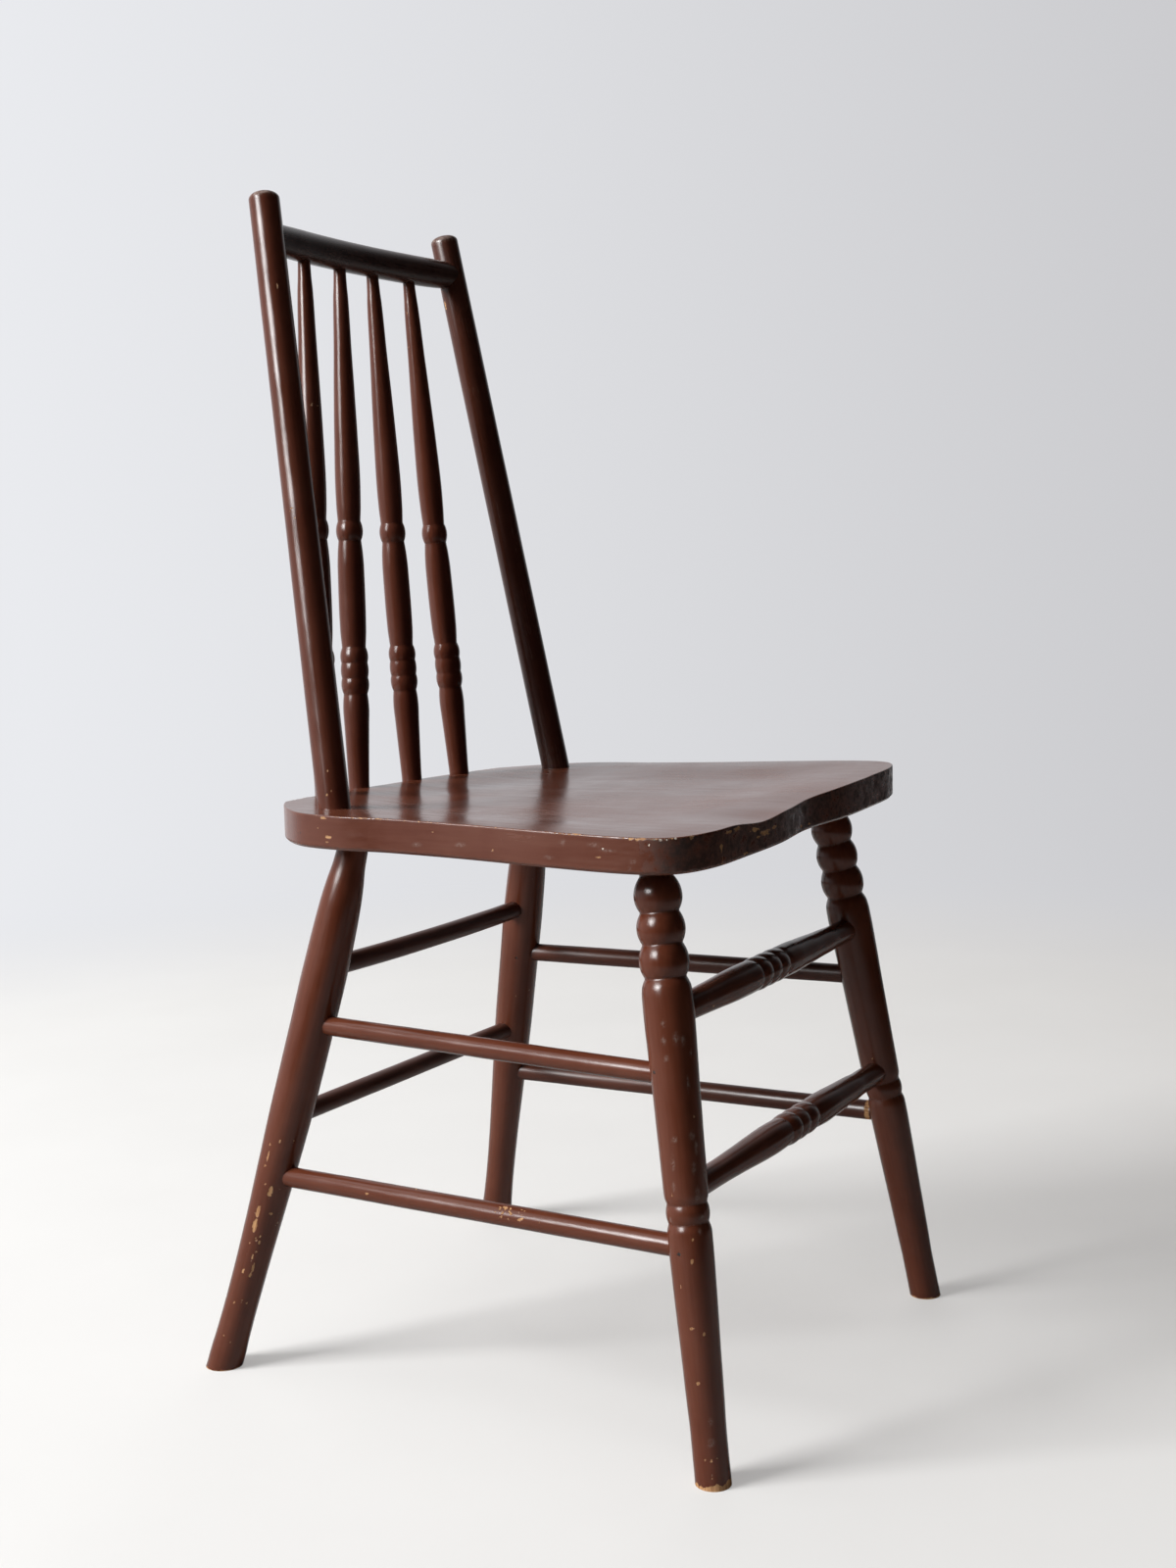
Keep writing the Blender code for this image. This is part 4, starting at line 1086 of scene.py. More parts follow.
def ring_rod_stations(rod, length):
    right, left = rod.middle + rod.grooves[0][0], rod.middle + rod.grooves[-1][0]
    grooves = [(rod.middle + away, radius) for away, radius in rod.grooves]
    inward = [(SHORT_OF_AXIS, rod.ends[0]), (right - rod.swells[0][-1][0] - SWELL_TO_END, rod.ends[0])]
    inward += [(right - out, radius) for out, radius in reversed(rod.swells[0])]
    stations = eased(inward + [grooves[0]])
    for low, high in zip(grooves, grooves[1:]):
        stations += bead(low, high, rod.crown, 11) + [high]
    outward = [(left + out, radius) for out, radius in rod.swells[1]]
    outward += [(left + rod.swells[1][-1][0] + SWELL_TO_END, rod.ends[1]),
                (length - SHORT_OF_AXIS, rod.ends[1])]
    return settle_paint(stations + eased([grooves[-1]] + outward)[1:])


for level, rod in FRONT_RODS.items():
    rod_name = "front_stretcher_" + level
    rod_line = rod_between(rod_name, leg_lines["front", "right"], leg_lines["front", "left"], rod.heights)
    turn(rod_name, rod_line, ring_rod_stations(rod, length_of(rod_line)), enamels["leg"],
         FRONT_ROD_SIDES)
    print(rod_name, len(pieces[rod_name].data.polygons), "faces")

# %% [markdown]
# Back posts
#
# Two plain round posts lean in and back, and end in low domes. The dome is a squashed circle: an
# exponent a little over two makes its shoulder fuller, like a turned end that was sanded.

# %% Posts
POST_FROM_SIDE = {"right": 0.0406, "left": 0.0398}
POST_FROM_BACK = {"right": 0.0878, "left": 0.0853}
POST_LEAN_IN = {"right": 0.0431, "left": 0.0391}
POST_LEAN_BACK = {"right": 0.0778, "left": 0.0754}
BACK_RISE = 0.4637
POST_SHORT = {"right": 0.0013, "left": 0.0}
POST_BASE_RADIUS = {"right": 0.01240, "left": 0.01215}
POST_TOP_RADIUS = {"right": 0.01180, "left": 0.01160}
POST_IN_SEAT = 0.0080
DOME_TALL = 0.0062
DOME_FULLNESS = 2.3
DOME_RINGS = 12


def post_line(side):
    sign = SIDES[side]
    x = sign * (SEAT_HALF_WIDTH - POST_FROM_SIDE[side])
    y = SEAT_BACK - POST_FROM_BACK[side]
    base = Vector((x, y, blank_top_height(x, y)))
    return Line(base, Vector((x - sign * POST_LEAN_IN[side], y + POST_LEAN_BACK[side],
                              base.z + BACK_RISE - POST_SHORT[side])), NO_BEND)


def post_stations(side, length):
    base, top = POST_BASE_RADIUS[side], POST_TOP_RADIUS[side]
    stations = eased([(-POST_IN_SEAT, base), (0.0, base), (length / 2.0, (base + top) / 2.0),
                      (length - DOME_TALL, top)])
    for ring in range(1, DOME_RINGS + 1):
        climb = math.sin(0.5 * math.pi * ring / DOME_RINGS)
        stations.append((length - DOME_TALL * (1.0 - climb),
                         top * max(0.0, 1.0 - climb ** DOME_FULLNESS) ** (1.0 / DOME_FULLNESS)))
    return stations


post_lines = {side: post_line(side) for side in SIDES}
for post_side, axis in post_lines.items():
    turn("back_post_" + post_side, axis, post_stations(post_side, length_of(axis)),
         enamels["back" if post_side == "right" else "shaded_back"])
    print("post", post_side, "top at", round(1000.0 * axis.end.z, 1), "mm")

# %% [markdown]
# Rail and spindles
#
# The rail is a bowed dowel let into both posts. The spindles copy each other, as a turner would: a
# swelling foot, three rings, a waist, one bead, and a long taper up into the rail. They differ only in
# their places.

# %% Rail
RAIL_BELOW_TOP = 0.0342
RAIL_BOW = 0.0098
RAIL_RADIUS = 0.01215
RAIL_END_RADIUS = 0.0113
RAIL_TAPER = 0.045


def make_rail_line():
    ends = [point_on(line, 1.0 - RAIL_BELOW_TOP / (line.end.z - line.start.z))
            for line in post_lines.values()]
    return Line(ends[0], ends[1], Vector((0.0, RAIL_BOW, 0.0)))


rail_line = make_rail_line()
rail_length = length_of(rail_line)
rail_stations = eased([(0.0, RAIL_END_RADIUS), (RAIL_TAPER, RAIL_RADIUS), (rail_length / 2.0, RAIL_RADIUS),
                       (rail_length - RAIL_TAPER, RAIL_RADIUS), (rail_length, RAIL_END_RADIUS)])
turn("crest_rail", rail_line, rail_stations, enamels["rail"])
print("rail", round(1000.0 * rail_length, 1), "mm between the posts' axes")

# %% Spindles
SPINDLE_BASE_SHARES = (0.208, 0.388, 0.610, 0.788)
SPINDLE_TOP_SHARES = (0.203, 0.404, 0.580, 0.772)
SPINDLE_FROM_BACK = (0.0273, 0.0163, 0.0182, 0.0279)
SPINDLE_IN_SEAT = 0.0080
SPINDLE_IN_RAIL = 0.0060
SPINDLE_BASE_RADIUS = 0.0085
SPINDLE_SWELL = ((0.017, 0.00895), (0.034, 0.00955), (0.052, 0.0102), (0.063, 0.01065), (0.070, 0.0104))
SPINDLE_RING_GROOVES = ((0.0763, 0.0097), (0.0893, 0.01055), (0.1017, 0.01055), (0.1142, 0.00965))
SPINDLE_RING_CROWN = 0.0113
SPINDLE_WAIST = ((0.129, 0.0106), (0.150, 0.0109), (0.179, 0.01075), (0.191, 0.0102))
SPINDLE_BEAD = ((0.2010, 0.0092), (0.2165, 0.0092))
SPINDLE_BEAD_CROWN = 0.0109
SPINDLE_TAPER = ((0.2005, 0.0099), (0.182, 0.0102), (0.144, 0.0095), (0.108, 0.0084), (0.073, 0.00715),
                 (0.044, 0.0064), (0.033, 0.0060), (0.024, 0.0054))
SPINDLE_TIP_RADIUS = 0.0050
SPINDLE_SIDES = 44


def spindle_stations(length):
    stations = eased([(-SPINDLE_IN_SEAT, SPINDLE_BASE_RADIUS), (0.0, SPINDLE_BASE_RADIUS), *SPINDLE_SWELL,
                      SPINDLE_RING_GROOVES[0]])
    for low, high in zip(SPINDLE_RING_GROOVES, SPINDLE_RING_GROOVES[1:]):
        stations += bead(low, high, SPINDLE_RING_CROWN, 10) + [high]
    stations += eased([SPINDLE_RING_GROOVES[-1], *SPINDLE_WAIST, SPINDLE_BEAD[0]])[1:]
    stations += bead(*SPINDLE_BEAD, SPINDLE_BEAD_CROWN, 11)
    taper = [(length - below, radius) for below, radius in SPINDLE_TAPER]
    return settle_paint(stations + eased([SPINDLE_BEAD[1], *taper, (length - RAIL_RADIUS, SPINDLE_TIP_RADIUS),
                                          (length - SPINDLE_IN_RAIL, SPINDLE_TIP_RADIUS)]))


for number, (base_share, top_share, from_back) in enumerate(
        zip(SPINDLE_BASE_SHARES, SPINDLE_TOP_SHARES, SPINDLE_FROM_BACK)):
    right_x, left_x = post_lines["right"].start.x, post_lines["left"].start.x
    base_x = right_x + (left_x - right_x) * base_share
    base_y = SEAT_BACK - from_back
    spindle_line = Line(Vector((base_x, base_y, blank_top_height(base_x, base_y))),
                        point_on(rail_line, top_share), NO_BEND)
    turn("spindle_" + str(number + 1), spindle_line, spindle_stations(length_of(spindle_line)),
         enamels["back"], SPINDLE_SIDES)
print("spindles:", number + 1)

# %% [markdown]
# The plank seat
#
# The seat is one thick board, bandsawn to an outline with a waist at the front, hollowed by hand on
# top. Its upper arris is crisp and its lower one a little rounder. A board like that is a loft of
# closed rings: each ring follows the outline, pulled in a little or a lot, at a height that a small
# rule gives. Set close at the two arrises and wider elsewhere, a few dozen rings give a smooth dish and
# sharp edges with no boolean cuts.

# %% Seat outline
FRONT_HOLLOW = 0.0055
FRONT_OUTLINE = ((0.1445, 0.0000), (0.0905, 0.0005), (0.0415, 0.0040), (0.0115, 0.0190),
                 (0.0010, 0.0520), (0.0010, 0.1145), (0.0045, 0.1805))
BACK_OUTLINE = ((0.0040, 0.1640), (-0.0015, 0.1240), (0.0005, 0.0900), (0.0135, 0.0660), (0.0340, 0.0450),
                (0.0600, 0.0270), (0.0995, 0.0100), (0.1535, 0.0010))
OUTLINE_STEPS = 1000
OUTLINE_SAMPLES = 64


def outline_corners():
    half = [(0.0, -SEAT_FRONT + FRONT_HOLLOW)]
    half += [(SEAT_HALF_WIDTH - inside, -SEAT_FRONT + after) for inside, after in FRONT_OUTLINE]
    half += [(SEAT_HALF_WIDTH - inside, SEAT_BACK - before) for inside, before in BACK_OUTLINE]
    half += [(0.0, SEAT_BACK)]
    return half + [(-x, y) for x, y in reversed(half[1:-1])]


def seat_outline():
    """Even steps round a smooth closed curve through the outline's points."""
    corners = outline_corners()
    fine = []
    for index in range(len(corners)):
        before, here, after, beyond = (Vector(corners[(index + k) % len(corners)]) for k in (-1, 0, 1, 2))
        for sample in range(OUTLINE_SAMPLES):
            t = sample / OUTLINE_SAMPLES
            fine.append(0.5 * (2.0 * here + (after - before) * t
                               + (2.0 * before - 5.0 * here + 4.0 * after - beyond) * t * t
                               + (3.0 * here - before - 3.0 * after + beyond) * t ** 3))
    travelled = [0.0]
    for here, after in zip(fine, fine[1:] + fine[:1]):
        travelled.append(travelled[-1] + (after - here).length)
    outline = []
    place = 0
    for step in range(OUTLINE_STEPS):
        wanted = travelled[-1] * step / OUTLINE_STEPS
        while travelled[place + 1] < wanted:
            place += 1
        share = (wanted - travelled[place]) / (travelled[place + 1] - travelled[place])
        outline.append(fine[place].lerp(fine[(place + 1) % len(fine)], share))
    return outline


rim_points = seat_outline()
print("outline points:", len(rim_points))

# %% Seat top
DISH_DEPTH = 0.0045
DISH_EDGE = 0.93
DISH_FLOOR = 0.50
REAR_EASE = 0.0050
REAR_EASE_REACH = 0.0260
REAR_EASE_FROM = 0.0330
FRONT_SCOOPS = ((-0.034, 0.110, 0.0027), (-0.090, 0.046, 0.0028))
SCOOP_REACH = 0.080
PLANE_RIPPLE = 0.00012
RIPPLE_ACROSS = 46.0
RIPPLE_ALONG = 5.0


def top_height(rim, share):
    x, y = rim.x * share, rim.y * share
    height = blank_top_height(x, y)
    height -= DISH_DEPTH * (1.0 - smooth((share - DISH_FLOOR) / (DISH_EDGE - DISH_FLOOR)))
    fade = 1.0 - smooth((y + SEAT_FRONT) / SCOOP_REACH)
    for across, half_width, depth in FRONT_SCOOPS:
        height -= depth * fade * smooth(1.0 - abs(x - across) / half_width)
    from_rim = (1.0 - share) * rim.length
    backness = 1.0 - (SEAT_BACK - rim.y) / REAR_EASE_FROM
    if backness > 0.0:
        height -= REAR_EASE * smooth(2.0 * backness) * (1.0 - smooth(from_rim / (REAR_EASE_REACH * backness)))
    return height + PLANE_RIPPLE * noise.noise(Vector((x * RIPPLE_ACROSS, y * RIPPLE_ALONG, 0.0)))


print("seat top at its middle, in the dish:", round(1000.0 * top_height(rim_points[0], 0.0), 1), "mm")

# %% Seat loft
BOTTOM_ROUND = 0.0018
TOP_ROUND = 0.0010
BOTTOM_TURNS = (90, 75, 60, 45, 30, 15, 0)
TOP_TURNS = (0, 22, 45, 68, 90)
SIDE_STEPS = 18
UNDERSIDE_SHARES = (0.05, 0.15, 0.30, 0.45, 0.60, 0.75, 0.90)
NEAR_RIM_INSETS = (0.0016, 0.0026, 0.0042, 0.0065, 0.0095)
TOP_SHARES = tuple(0.950 - 0.0225 * step for step in range(42))


def seat_rings():
    """Each ring is a rule: from a rim point to (share of the way out, height)."""
    def under(rim, share):
        return underside_height(rim.x * share, rim.y * share)

    def inset_ring(inset, height_of):
        return lambda rim: (1.0 - inset / rim.length, height_of(rim, 1.0 - inset / rim.length))

    rings = [lambda rim, share=share: (share, under(rim, share)) for share in UNDERSIDE_SHARES]
    for turn_by in BOTTOM_TURNS:
        angle = math.radians(turn_by)
        rings.append(inset_ring(BOTTOM_ROUND * math.sin(angle),
                                lambda rim, share, angle=angle: under(rim, share)
                                + BOTTOM_ROUND * (1.0 - math.sin(angle))))
    for step in range(1, SIDE_STEPS):
        part = step / SIDE_STEPS
        rings.append(lambda rim, part=part: (1.0, (under(rim, 1.0) + BOTTOM_ROUND) * (1.0 - part)
                                             + (top_height(rim, 1.0) - TOP_ROUND) * part))
    for turn_by in TOP_TURNS:
        angle = math.radians(turn_by)
        rings.append(inset_ring(TOP_ROUND * (1.0 - math.cos(angle)),
                                lambda rim, share, angle=angle: top_height(rim, share)
                                - TOP_ROUND * (1.0 - math.sin(angle))))
    rings += [inset_ring(inset, top_height) for inset in NEAR_RIM_INSETS]
    rings += [lambda rim, share=share: (share, top_height(rim, share)) for share in TOP_SHARES]
    return rings


def make_seat():
    model = bmesh.new()
    loops = []
    for rule in seat_rings():
        loop = []
        for rim in rim_points:
            share, height = rule(rim)
            loop.append(model.verts.new((rim.x * share, rim.y * share, height)))
        loops.append(loop)
    for lower, upper in zip(loops, loops[1:]):
        for index in range(OUTLINE_STEPS):
            following = (index + 1) % OUTLINE_STEPS
            model.faces.new((lower[index], lower[following], upper[following], upper[index]))
    bottom_middle = model.verts.new((0.0, 0.0, underside_height(0.0, 0.0)))
    top_middle = model.verts.new((0.0, 0.0, top_height(rim_points[0], 0.0)))
    for index in range(OUTLINE_STEPS):
        following = (index + 1) % OUTLINE_STEPS
        model.faces.new((loops[0][following], loops[0][index], bottom_middle))
        model.faces.new((loops[-1][index], loops[-1][following], top_middle))
    mesh = bpy.data.meshes.new("seat_skin")
    model.to_mesh(mesh)
    model.free()
    mesh.shade_smooth()
    mesh.materials.append(enamels["seat"])
    add_marks(mesh)
    pieces["seat"] = put_in_scene("seat_skin", mesh)


make_seat()
print("seat:", len(pieces["seat"].data.polygons), "faces")

# %% [markdown]
# Where the paint let go
#
# Wear is what makes this chair. Each mark in the picture is written as a point of the picture with a
# width and a length, in its pixels. A ray from the eye finds the spot on the piece, and the numbers
# round it rise to a soft peak, longer along the piece than across it. The shader's noise then gives it
# a torn edge.

# %% Paint marks through the picture
LEAST_HALF = 0.0007


def corners_of(mesh):
    places = np.empty(len(mesh.vertices) * 3, np.float32)
    mesh.vertices.foreach_get("co", places)
    return places.reshape(-1, 3)


def lift_mark(mesh, mark_name, amounts):
    """Raise a mark to new amounts, never lowering what is there."""
    values = np.empty(len(amounts), np.float32)
    data = mesh.attributes[mark_name].data
    data.foreach_get("value", values)
    data.foreach_set("value", np.maximum(values, amounts).astype(np.float32))


def raise_mark(mesh, mark_name, places, middle, along, half_wide, half_long, peak=1.0):
    """Lift a mark round a point to a soft peak."""
    away = places - np.array(middle, np.float32)
    lengthwise = away @ np.array(along, np.float32)
    sideways = np.sqrt(np.maximum((away ** 2).sum(1) - lengthwise ** 2, 0.0))
    reach = np.sqrt((lengthwise / half_long) ** 2 + (sideways / half_wide) ** 2)
    lift_mark(mesh, mark_name, np.clip(1.0 - 0.5 * reach, 0.0, 1.0) * peak)


def mark_spots(name, mark_name, spots, along=None, peak=1.0):
    """Find spots of the picture on a piece and paint them there. Each is (across, down, width, length)."""
    mesh = pieces[name].data
    places = corners_of(mesh)
    surface = BVHTree.FromPolygons([vertex.co for vertex in mesh.vertices],
                                   [tuple(face.vertices) for face in mesh.polygons])
    way = along or way_of(piece_lines[name])
    found = 0
    for across, down, wide, long in spots:
        hit, normal, face, distance = surface.ray_cast(EYE, ray_through(across, down))
        if hit is None:
            continue
        found += 1
        pixel = distance / FOCUS
        half_wide, half_long = (max(pixels * pixel / 2.0, LEAST_HALF) for pixels in (wide, long))
        raise_mark(mesh, mark_name, places, hit, way, half_wide, half_long, peak)
    return found


print("a picture pixel is about", round(1000.0 * 1.3 / FOCUS, 2), "mm at the seat")

# %% [markdown]
# Chips on the legs
#
# The sitter's right rear leg lost the most: slivers of tan wood, all long and thin, because the paint
# splits with the grain. The right front leg has a few round chips, pale scuffs from other chairs, and
# bare wood round the rim of its foot.

# %% Leg chips
REAR_RIGHT_FLAKES = (
    (275.5, 1168, 1.6, 4), (285.5, 1165, 2.4, 4), (300, 1165, 1.8, 3), (273.4, 1179, 1.9, 12),
    (270.7, 1189, 1.5, 4), (271, 1208, 1.6, 2), (285.4, 1214, 1.8, 2), (275.8, 1216, 4.2, 12),
    (263.4, 1236, 4.2, 13), (259.9, 1250, 4.0, 14), (261, 1263, 1.6, 2.5), (265.4, 1262, 1.6, 3),
    (264.6, 1268, 2.0, 5), (255, 1268, 1.8, 2), (261.8, 1277, 1.6, 2), (257.5, 1283, 1.5, 8),
    (252, 1280, 1.5, 2), (258.3, 1293, 2.2, 10), (255.4, 1301, 2.5, 8), (248.2, 1297, 2.6, 6),
    (247, 1328, 2.2, 3), (251.6, 1330, 2.0, 3), (239, 1329, 1.5, 2), (228, 1362, 3.0, 2), (235, 1369, 1.6, 3))
FRONT_RIGHT_FLAKES = (
    (694.9, 1313, 1.6, 3), (705.9, 1355.6, 4, 4), (718.2, 1362, 3, 4), (712.3, 1412, 4, 3.4),
    (685.6, 1219, 2, 4),
    (707.5, 1120, 2, 2), (708.3, 1139, 1.8, 3), (706.7, 1265, 1.6, 3), (706.3, 1287, 3, 5))
FRONT_RIGHT_STAINS = ((725.8, 1490.6, 4, 6), (719.7, 1489, 4, 5), (732, 1488, 4, 4), (726.6, 1506, 3, 8))
FRONT_RIGHT_SCUFFS = (
    (689.7, 1060, 4, 8), (697, 1062, 3, 7), (677.3, 1062, 3, 5), (676.5, 1045, 3, 4), (679.8, 1080, 3, 4),
    (705, 1075, 2, 5), (702.2, 1106, 1.5, 10), (688, 1163, 4, 4), (706.3, 1159, 4, 6), (710.5, 1171, 3, 9),
    (686.4, 1187, 2.6, 10), (708, 1192, 2.6, 8), (687.3, 1211, 2, 6), (712, 1219, 4, 10),
    (719.6, 1199, 2, 12), (714.3, 1256, 3, 4), (716.3, 1242, 4, 2), (725.8, 1473, 5, 5),
    (725, 1451, 3, 4), (684, 1245, 3, 3))
LEG_MARKS = (("rear_leg_right", "flakes", REAR_RIGHT_FLAKES, 1.0),
             ("front_leg_right", "flakes", FRONT_RIGHT_FLAKES, 1.0),
             ("front_leg_right", "scuffs", FRONT_RIGHT_SCUFFS, 1.0),
             ("front_leg_right", "flakes", FRONT_RIGHT_STAINS, 0.62))
FOOT_BARE = {"front_leg_right": 0.0062, "front_leg_left": 0.0016,
             "rear_leg_right": 0.0010, "rear_leg_left": 0.0030}
FOOT_JAGS = 4.5
FOOT_JAG_MIDDLE = 0.75
FOOT_JAG_DEPTH = 0.9
FOOT_WORN_SIDE = 0.62
FOOT_WORN_FORWARD = 0.38
FOOT_WORN_START = 0.55
LEAST_TALL = 0.0001


def bare_foot(name, tall):
    """Paint wears off the rim of a foot, up to a jagged line. It wears most towards the chair's front."""
    mesh = pieces[name].data
    foot = piece_lines[name].start
    amounts = np.zeros(len(mesh.vertices))
    for vertex in mesh.vertices:
        if vertex.co.z < 2.0 * tall:
            out = (vertex.co - foot).normalized()
            forward = FOOT_WORN_SIDE - FOOT_WORN_FORWARD * out.y
            jags = FOOT_JAG_MIDDLE + FOOT_JAG_DEPTH * noise.noise(Vector((out.x, out.y, 0.0)) * FOOT_JAGS)
            worn = 1.0 - vertex.co.z / max(tall * forward * jags, LEAST_TALL)
            amounts[vertex.index] = min(max(FOOT_WORN_START + worn, 0.0), 1.0)
    lift_mark(mesh, "flakes", amounts)


for name, mark_name, spots, peak in LEG_MARKS:
    print(name, mark_name, "found:", mark_spots(name, mark_name, spots, peak=peak))
for name, tall in FOOT_BARE.items():
    bare_foot(name, tall)

# %% Chips on posts and stretchers
POST_AND_ROD_FLAKES = {
    "back_post_right": ((283, 292, 1.8, 6), (338, 807, 1.8, 3), (333.6, 811, 1.6, 4), (334, 787, 1.3, 3)),
    "back_post_left": ((454.5, 312, 2.0, 9),),
    "side_stretcher_right_lower": ((374, 1218, 2.2, 4),),
    "front_leg_left": ((889.8, 1080, 1.8, 2),),
}
ALL_ROUND = 1.0
DOME_RUB = 0.0036
DOME_RUB_HALF = 0.0016
DOME_RUB_PEAK = 0.9
LOOSE_BARE = 0.0032
LOOSE_BARE_PEAK = 1.4
LEG_RADIUS_THERE = 0.0150


def ring_mark(name, mark_name, before_end, half_long, peak):
    """Raise a mark in a ring round a turned piece, a little way before its line's end."""
    mesh, line = pieces[name].data, piece_lines[name]
    raise_mark(mesh, mark_name, corners_of(mesh), line.end - way_of(line) * before_end, way_of(line),
               ALL_ROUND, half_long, peak)


for name, spots in POST_AND_ROD_FLAKES.items():
    mark_spots(name, "flakes", spots)
for post_side in SIDES:
    ring_mark("back_post_" + post_side, "scuffs", DOME_RUB, DOME_RUB_HALF, DOME_RUB_PEAK)
ring_mark("side_stretcher_left_lower", "flakes", LEG_RADIUS_THERE + LOOSE_BARE / 2.0, LOOSE_BARE / 2.0,
          LOOSE_BARE_PEAK)
print("bare ring on side_stretcher_left_lower:", LOOSE_BARE, "m")

# %% [markdown]
# Chips on the seat
#
# The upper arris is where every hand and leg rubs, so the paint is broken there in short dashes. The
# right front corner took knocks that went through to an old white undercoat. The front face has dull
# tan patches and one long run.

# %% Seat chips
SEAT_FLAKES = (
    (329.5, 834.7, 3.0, 8), (334.8, 854.2, 3.6, 8), (334, 859, 2.4, 4), (314.2, 864.7, 2.4, 3),
    (320.8, 865.7, 1.8, 2), (324, 844.6, 1.6, 2.4), (441, 849, 1.8, 2.4), (511.5, 856, 2.2, 2.6),
    (502.7, 867.8, 2.4, 4), (588.4, 851, 2.8, 11), (610, 874.8, 1.8, 6), (643, 856, 3.4, 4),
    (650, 857, 3.0, 5), (656, 856, 3.2, 5), (705.7, 855, 5, 6), (736.3, 864, 6, 5))
SEAT_FRONT_PATCHES = ((744, 849, 4, 18), (752, 846, 5, 20), (770, 847, 6, 20), (781, 850, 8, 26),
                      (774, 854, 3, 14), (790, 844, 4, 14), (761, 871, 3, 12), (817, 843.6, 3, 10),
                      (826, 840.4, 3, 10))
SEAT_DRIP = tuple((736.4 + 0.1 * step, 867 + 2 * step, 3.0, 1.3) for step in range(8))
SEAT_PRIMER = ((668, 857, 2.2, 4), (674, 857.5, 2.6, 5), (681, 857, 2.6, 6), (689, 855.6, 2.4, 5),
               (662.3, 862, 2.4, 2.2), (615, 866.5, 1.0, 5))
SEAT_SCUFFS = ((574, 859.5, 4, 5), (645.8, 879.3, 4, 5), (642, 886.3, 3, 4), (620, 868, 2, 12),
               (606, 862, 3, 10), (560, 875, 3, 8), (470, 862, 3, 9), (425, 862, 3, 8), (687, 888, 5, 1.5))
SEAT_PITS = ((300.4, 823, 2.6, 2.6), (306.8, 850, 2.6, 2.6), (540.2, 830.6, 3.0, 3.0))
TO_THE_BACK = Vector((0.0, 1.0, 0.0))
ACROSS = Vector((1.0, 0.0, 0.0))
SEAT_MARKS = (("flakes", SEAT_FLAKES, TO_THE_BACK, 1.0), ("flakes", SEAT_DRIP, ACROSS, 1.0),
              ("primer", SEAT_PRIMER, TO_THE_BACK, 1.0), ("scuffs", SEAT_SCUFFS, TO_THE_BACK, 0.5),
              ("flakes", SEAT_FRONT_PATCHES, ACROSS, 0.8), ("pits", SEAT_PITS, TO_THE_BACK, 1.0))

print("marks on the seat:", sum(mark_spots("seat", mark_name, spots, way, peak)
                                for mark_name, spots, way, peak in SEAT_MARKS))

# %% [markdown]
# Along the upper arris
#
# Some wear runs all round and needs no point of the picture. Every point of the outline gets its own
# amount, and the rings of the loft nearest to the upper arris take it. The plank's forward faces get
# painted shade all along: darker and duller, the more squarely they look forward.

# %% Wear along the upper arris, and painted shade on the front face
ARRIS_HALF = 0.0011
ARRIS_DOWN = 0.4
RINGS_TO_ARRIS = len(UNDERSIDE_SHARES) + len(BOTTOM_TURNS) + SIDE_STEPS
ARRIS_RINGS = range(RINGS_TO_ARRIS - 4, RINGS_TO_ARRIS + len(TOP_TURNS) + 2)
ARRIS_WORN_RIGHT = 0.50
ARRIS_WORN_LEFT = 0.44
ARRIS_BACK_LESS = 0.55
ARRIS_FADE_FROM = 0.06
ARRIS_FADE_LONG = 0.10
ARRIS_PATCHES = 30.0
ARRIS_PATCH_SEED = 3.0
ARRIS_LEAST = 0.72
ARRIS_PATCHY = 0.45
# Painted shade on the forward faces of the plank: how much, where it starts, and how fast it rises.
FRONT_FACE_SHADE = 0.8
FRONT_FACING = -0.2
MOST_TILTED = 0.5
FRONT_SHADE_RISE = -1.6


def arris_amount(rim):
    """Most worn along the right side and round the front corners, least at the back."""
    side = ARRIS_WORN_RIGHT if rim.x < 0.0 else ARRIS_WORN_LEFT
    fade = 1.0 - ARRIS_BACK_LESS * smooth((rim.y - ARRIS_FADE_FROM) / ARRIS_FADE_LONG)
    patchy = 0.5 + 0.5 * noise.noise(Vector((rim.x * ARRIS_PATCHES, rim.y * ARRIS_PATCHES, ARRIS_PATCH_SEED)))
    return side * fade * (ARRIS_LEAST + ARRIS_PATCHY * patchy)


def rub_arris(mesh):
    """Raise the flakes along the upper arris, by an amount that changes round the outline."""
    places = corners_of(mesh)
    amounts = np.zeros(len(places))
    for step, rim in enumerate(rim_points):
        amount = arris_amount(rim)
        edge = np.array((rim.x, rim.y, top_height(rim, 1.0) - TOP_ROUND * ARRIS_DOWN), np.float32)
        for ring in ARRIS_RINGS:
            index = ring * OUTLINE_STEPS + step
            near = max(0.0, 1.0 - float(np.linalg.norm(places[index] - edge)) / ARRIS_HALF)
            amounts[index] = amount * near ** 0.5
    lift_mark(mesh, "flakes", amounts)


def shade_front_face(mesh):
    """Painted shade on the plank's forward faces: darker and duller the more squarely a face looks forward.
    """
    facing = [vertex.normal.y if abs(vertex.normal.z) < MOST_TILTED else 0.0 for vertex in mesh.vertices]
    lift_mark(mesh, "grime_and_shade", np.array([FRONT_FACE_SHADE * smooth(FRONT_SHADE_RISE * forward)
                                       if forward < FRONT_FACING else 0.0 for forward in facing]))


shade_front_face(pieces["seat"].data)
rub_arris(pieces["seat"].data)
print("arris rubbed over", len(ARRIS_RINGS), "rings")

# %% [markdown]
# The sides that the picture doesn't show
#
# A chair wears all round. Where the camera can't see, a few more chips are strewn by a fixed seed: long
# and thin on the turned parts, more of them low down, where brooms and shoes go.

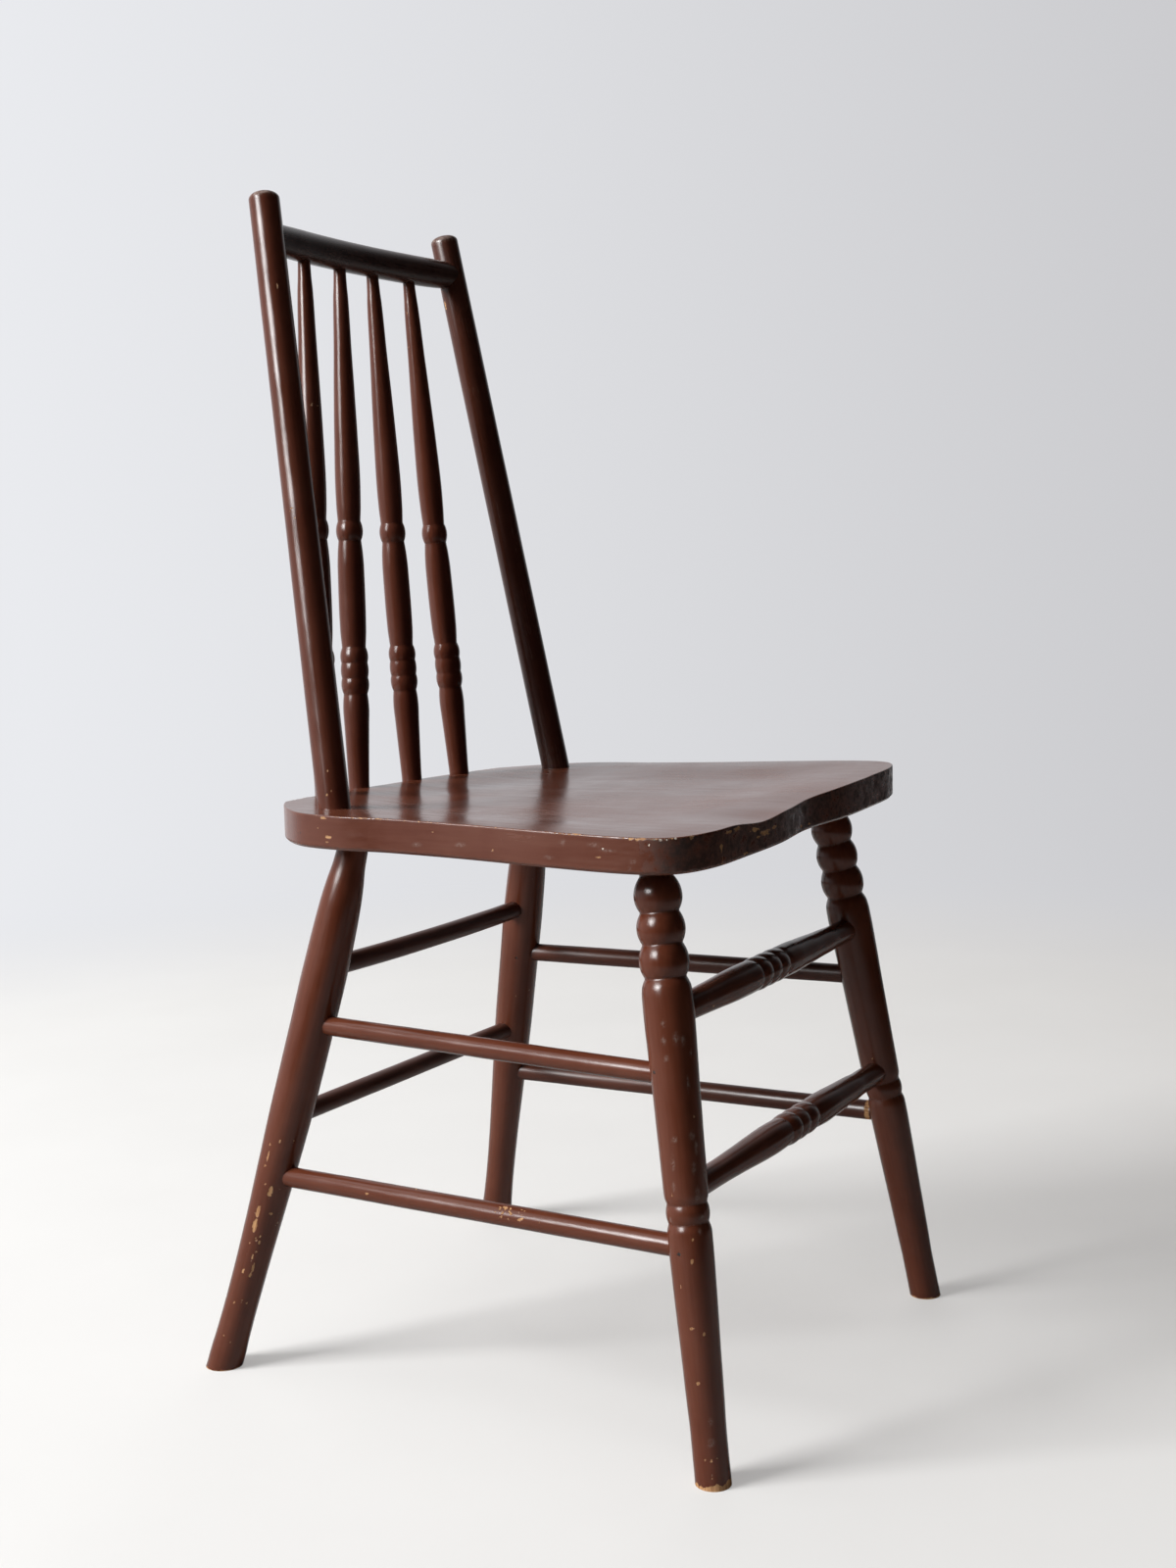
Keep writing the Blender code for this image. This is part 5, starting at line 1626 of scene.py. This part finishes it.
# %% Strewn chips
STREWN = {"front_leg_left": 16, "rear_leg_left": 14, "front_leg_right": 10, "rear_leg_right": 10,
          "back_post_left": 5, "back_post_right": 5, "front_stretcher_upper": 5, "front_stretcher_lower": 7,
          "side_stretcher_left_upper": 3, "side_stretcher_left_lower": 4, "side_stretcher_right_upper": 3,
          "side_stretcher_right_lower": 4, "rear_stretcher_upper": 3, "rear_stretcher_lower": 4,
          "spindle_1": 2, "spindle_2": 2, "spindle_3": 2, "spindle_4": 2}
STREWN_HALF_WIDE = (0.0006, 0.0014)
STREWN_LONG = (1.0, 4.5)
STREWN_SEED = 11
FLOOR_CLEAR = 0.001


def strew(name, count, chance):
    mesh = pieces[name].data
    places = corners_of(mesh)
    way = way_of(piece_lines[name])
    made = 0
    while made < count:
        vertex = mesh.vertices[chance.randrange(len(mesh.vertices))]
        if vertex.normal.dot(EYE - vertex.co) > 0.0 or vertex.co.z < FLOOR_CLEAR:
            continue
        half_wide = chance.uniform(*STREWN_HALF_WIDE)
        raise_mark(mesh, "flakes", places, vertex.co, way, half_wide,
                   half_wide * chance.uniform(*STREWN_LONG))
        made += 1
    return made


strewing = random.Random(STREWN_SEED)
print("strewn chips:", sum(strew(name, count, strewing) for name, count in STREWN.items()))

# %% [markdown]
# Three brads
#
# Three headless nails pin the side stretchers in their legs. They were driven just under the surface,
# so what shows is a small dark hole. The hole is cut into the leg's skin, with painted shade, a near-black
# spot, round its mouth. The solid nail behind it only gets a rusty steel.

# %% Brad holes
BRAD_RADIUS = 0.0011
BRAD_HOLES = {"brad_right_upper": "front_leg_right", "brad_right_lower": "front_leg_right",
              "brad_left_upper": "rear_leg_left"}
HOLE_RUN_OUT = 0.0030
HOLE_SIDES = 20
HOLE_FLARE = 1.15
SAME_END = 2.5 * BRAD_RADIUS
BRAD_HOLE_SHADE = 0.0017


def nail_line(node):
    """The nail's axis, from the middles of its two flat ends: the corners farthest apart along it."""
    corners = [vertex.co.copy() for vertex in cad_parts[node].data.vertices]
    middle = sum(corners, Vector()) / len(corners)
    first = max(corners, key=lambda corner: (corner - middle).length)
    ends = [corner for corner in corners if (corner - first).length < SAME_END]
    near_end = sum(ends, Vector()) / len(ends)
    return Line(near_end, middle + (middle - near_end), NO_BEND)


def make_drill(outer, way):
    """A short cone with its middle at the nail's outer end."""
    model = bmesh.new()
    bmesh.ops.create_cone(model, cap_ends=True, segments=HOLE_SIDES, radius1=BRAD_RADIUS,
                          radius2=BRAD_RADIUS * HOLE_FLARE, depth=2.0 * HOLE_RUN_OUT)
    mesh = bpy.data.meshes.new("hole")
    model.to_mesh(mesh)
    model.free()
    mesh.transform(Matrix.Translation(outer) @ way.to_track_quat("Z", "Y").to_matrix().to_4x4())
    return put_in_scene("hole", mesh)


def cut_hole(leg_name, node):
    line = nail_line(node)
    beside = point_at_height(piece_lines[leg_name], line.start.z)
    outer, inner = line.start, line.end
    if (outer - beside).length < (inner - beside).length:
        outer, inner = inner, outer
    way = (outer - inner).normalized()
    leg = pieces[leg_name]
    # Painted shade round the hole's mouth, so that the hole reads dark.
    raise_mark(leg.data, "pits", corners_of(leg.data), outer, way, BRAD_HOLE_SHADE, BRAD_HOLE_SHADE)
    drill = make_drill(outer, way)
    modifier = leg.modifiers.new("Hole", "BOOLEAN")
    modifier.operation = "DIFFERENCE"
    modifier.solver = "EXACT"
    modifier.object = drill
    bake(leg)
    bpy.data.objects.remove(drill)


for node, leg_name in BRAD_HOLES.items():
    cut_hole(leg_name, node)
    print(node, "hole cut in", leg_name)

# %% Rusty steel
RUST_DARK = (0.006, 0.004, 0.003, 1.0)
RUST_BRIGHT = (0.022, 0.012, 0.008, 1.0)
RUST_SCALE = 1500.0
METAL_DARK = 0.5
METAL_RUSTY = 0.1
STEEL_ROUGHNESS = 0.8


def rusty_steel():
    material, tree, shader = new_finish("brad_steel_finish")
    rust = clouds_of(tree, object_place(tree), RUST_SCALE, 4.0)
    feed(tree, shader, {"Base Color": blend(tree, rust, RUST_DARK, RUST_BRIGHT),
                        "Metallic": rescale(tree, rust, 0.0, 1.0, METAL_DARK, METAL_RUSTY),
                        "Roughness": STEEL_ROUGHNESS})
    return material


steel = rusty_steel()
for node in BRAD_HOLES:
    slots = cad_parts[node].data.materials
    slots.clear()
    slots.append(steel)
print("brads wear", steel.name)

# %% [markdown]
# Handing over
#
# Each fine skin now stands for its solid: it rides on the one body and hides the solid.

for name, piece in pieces.items():
    piece.name = "painted_" + name
    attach(piece, "root")
    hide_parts(name)
print("skins:", len(pieces))
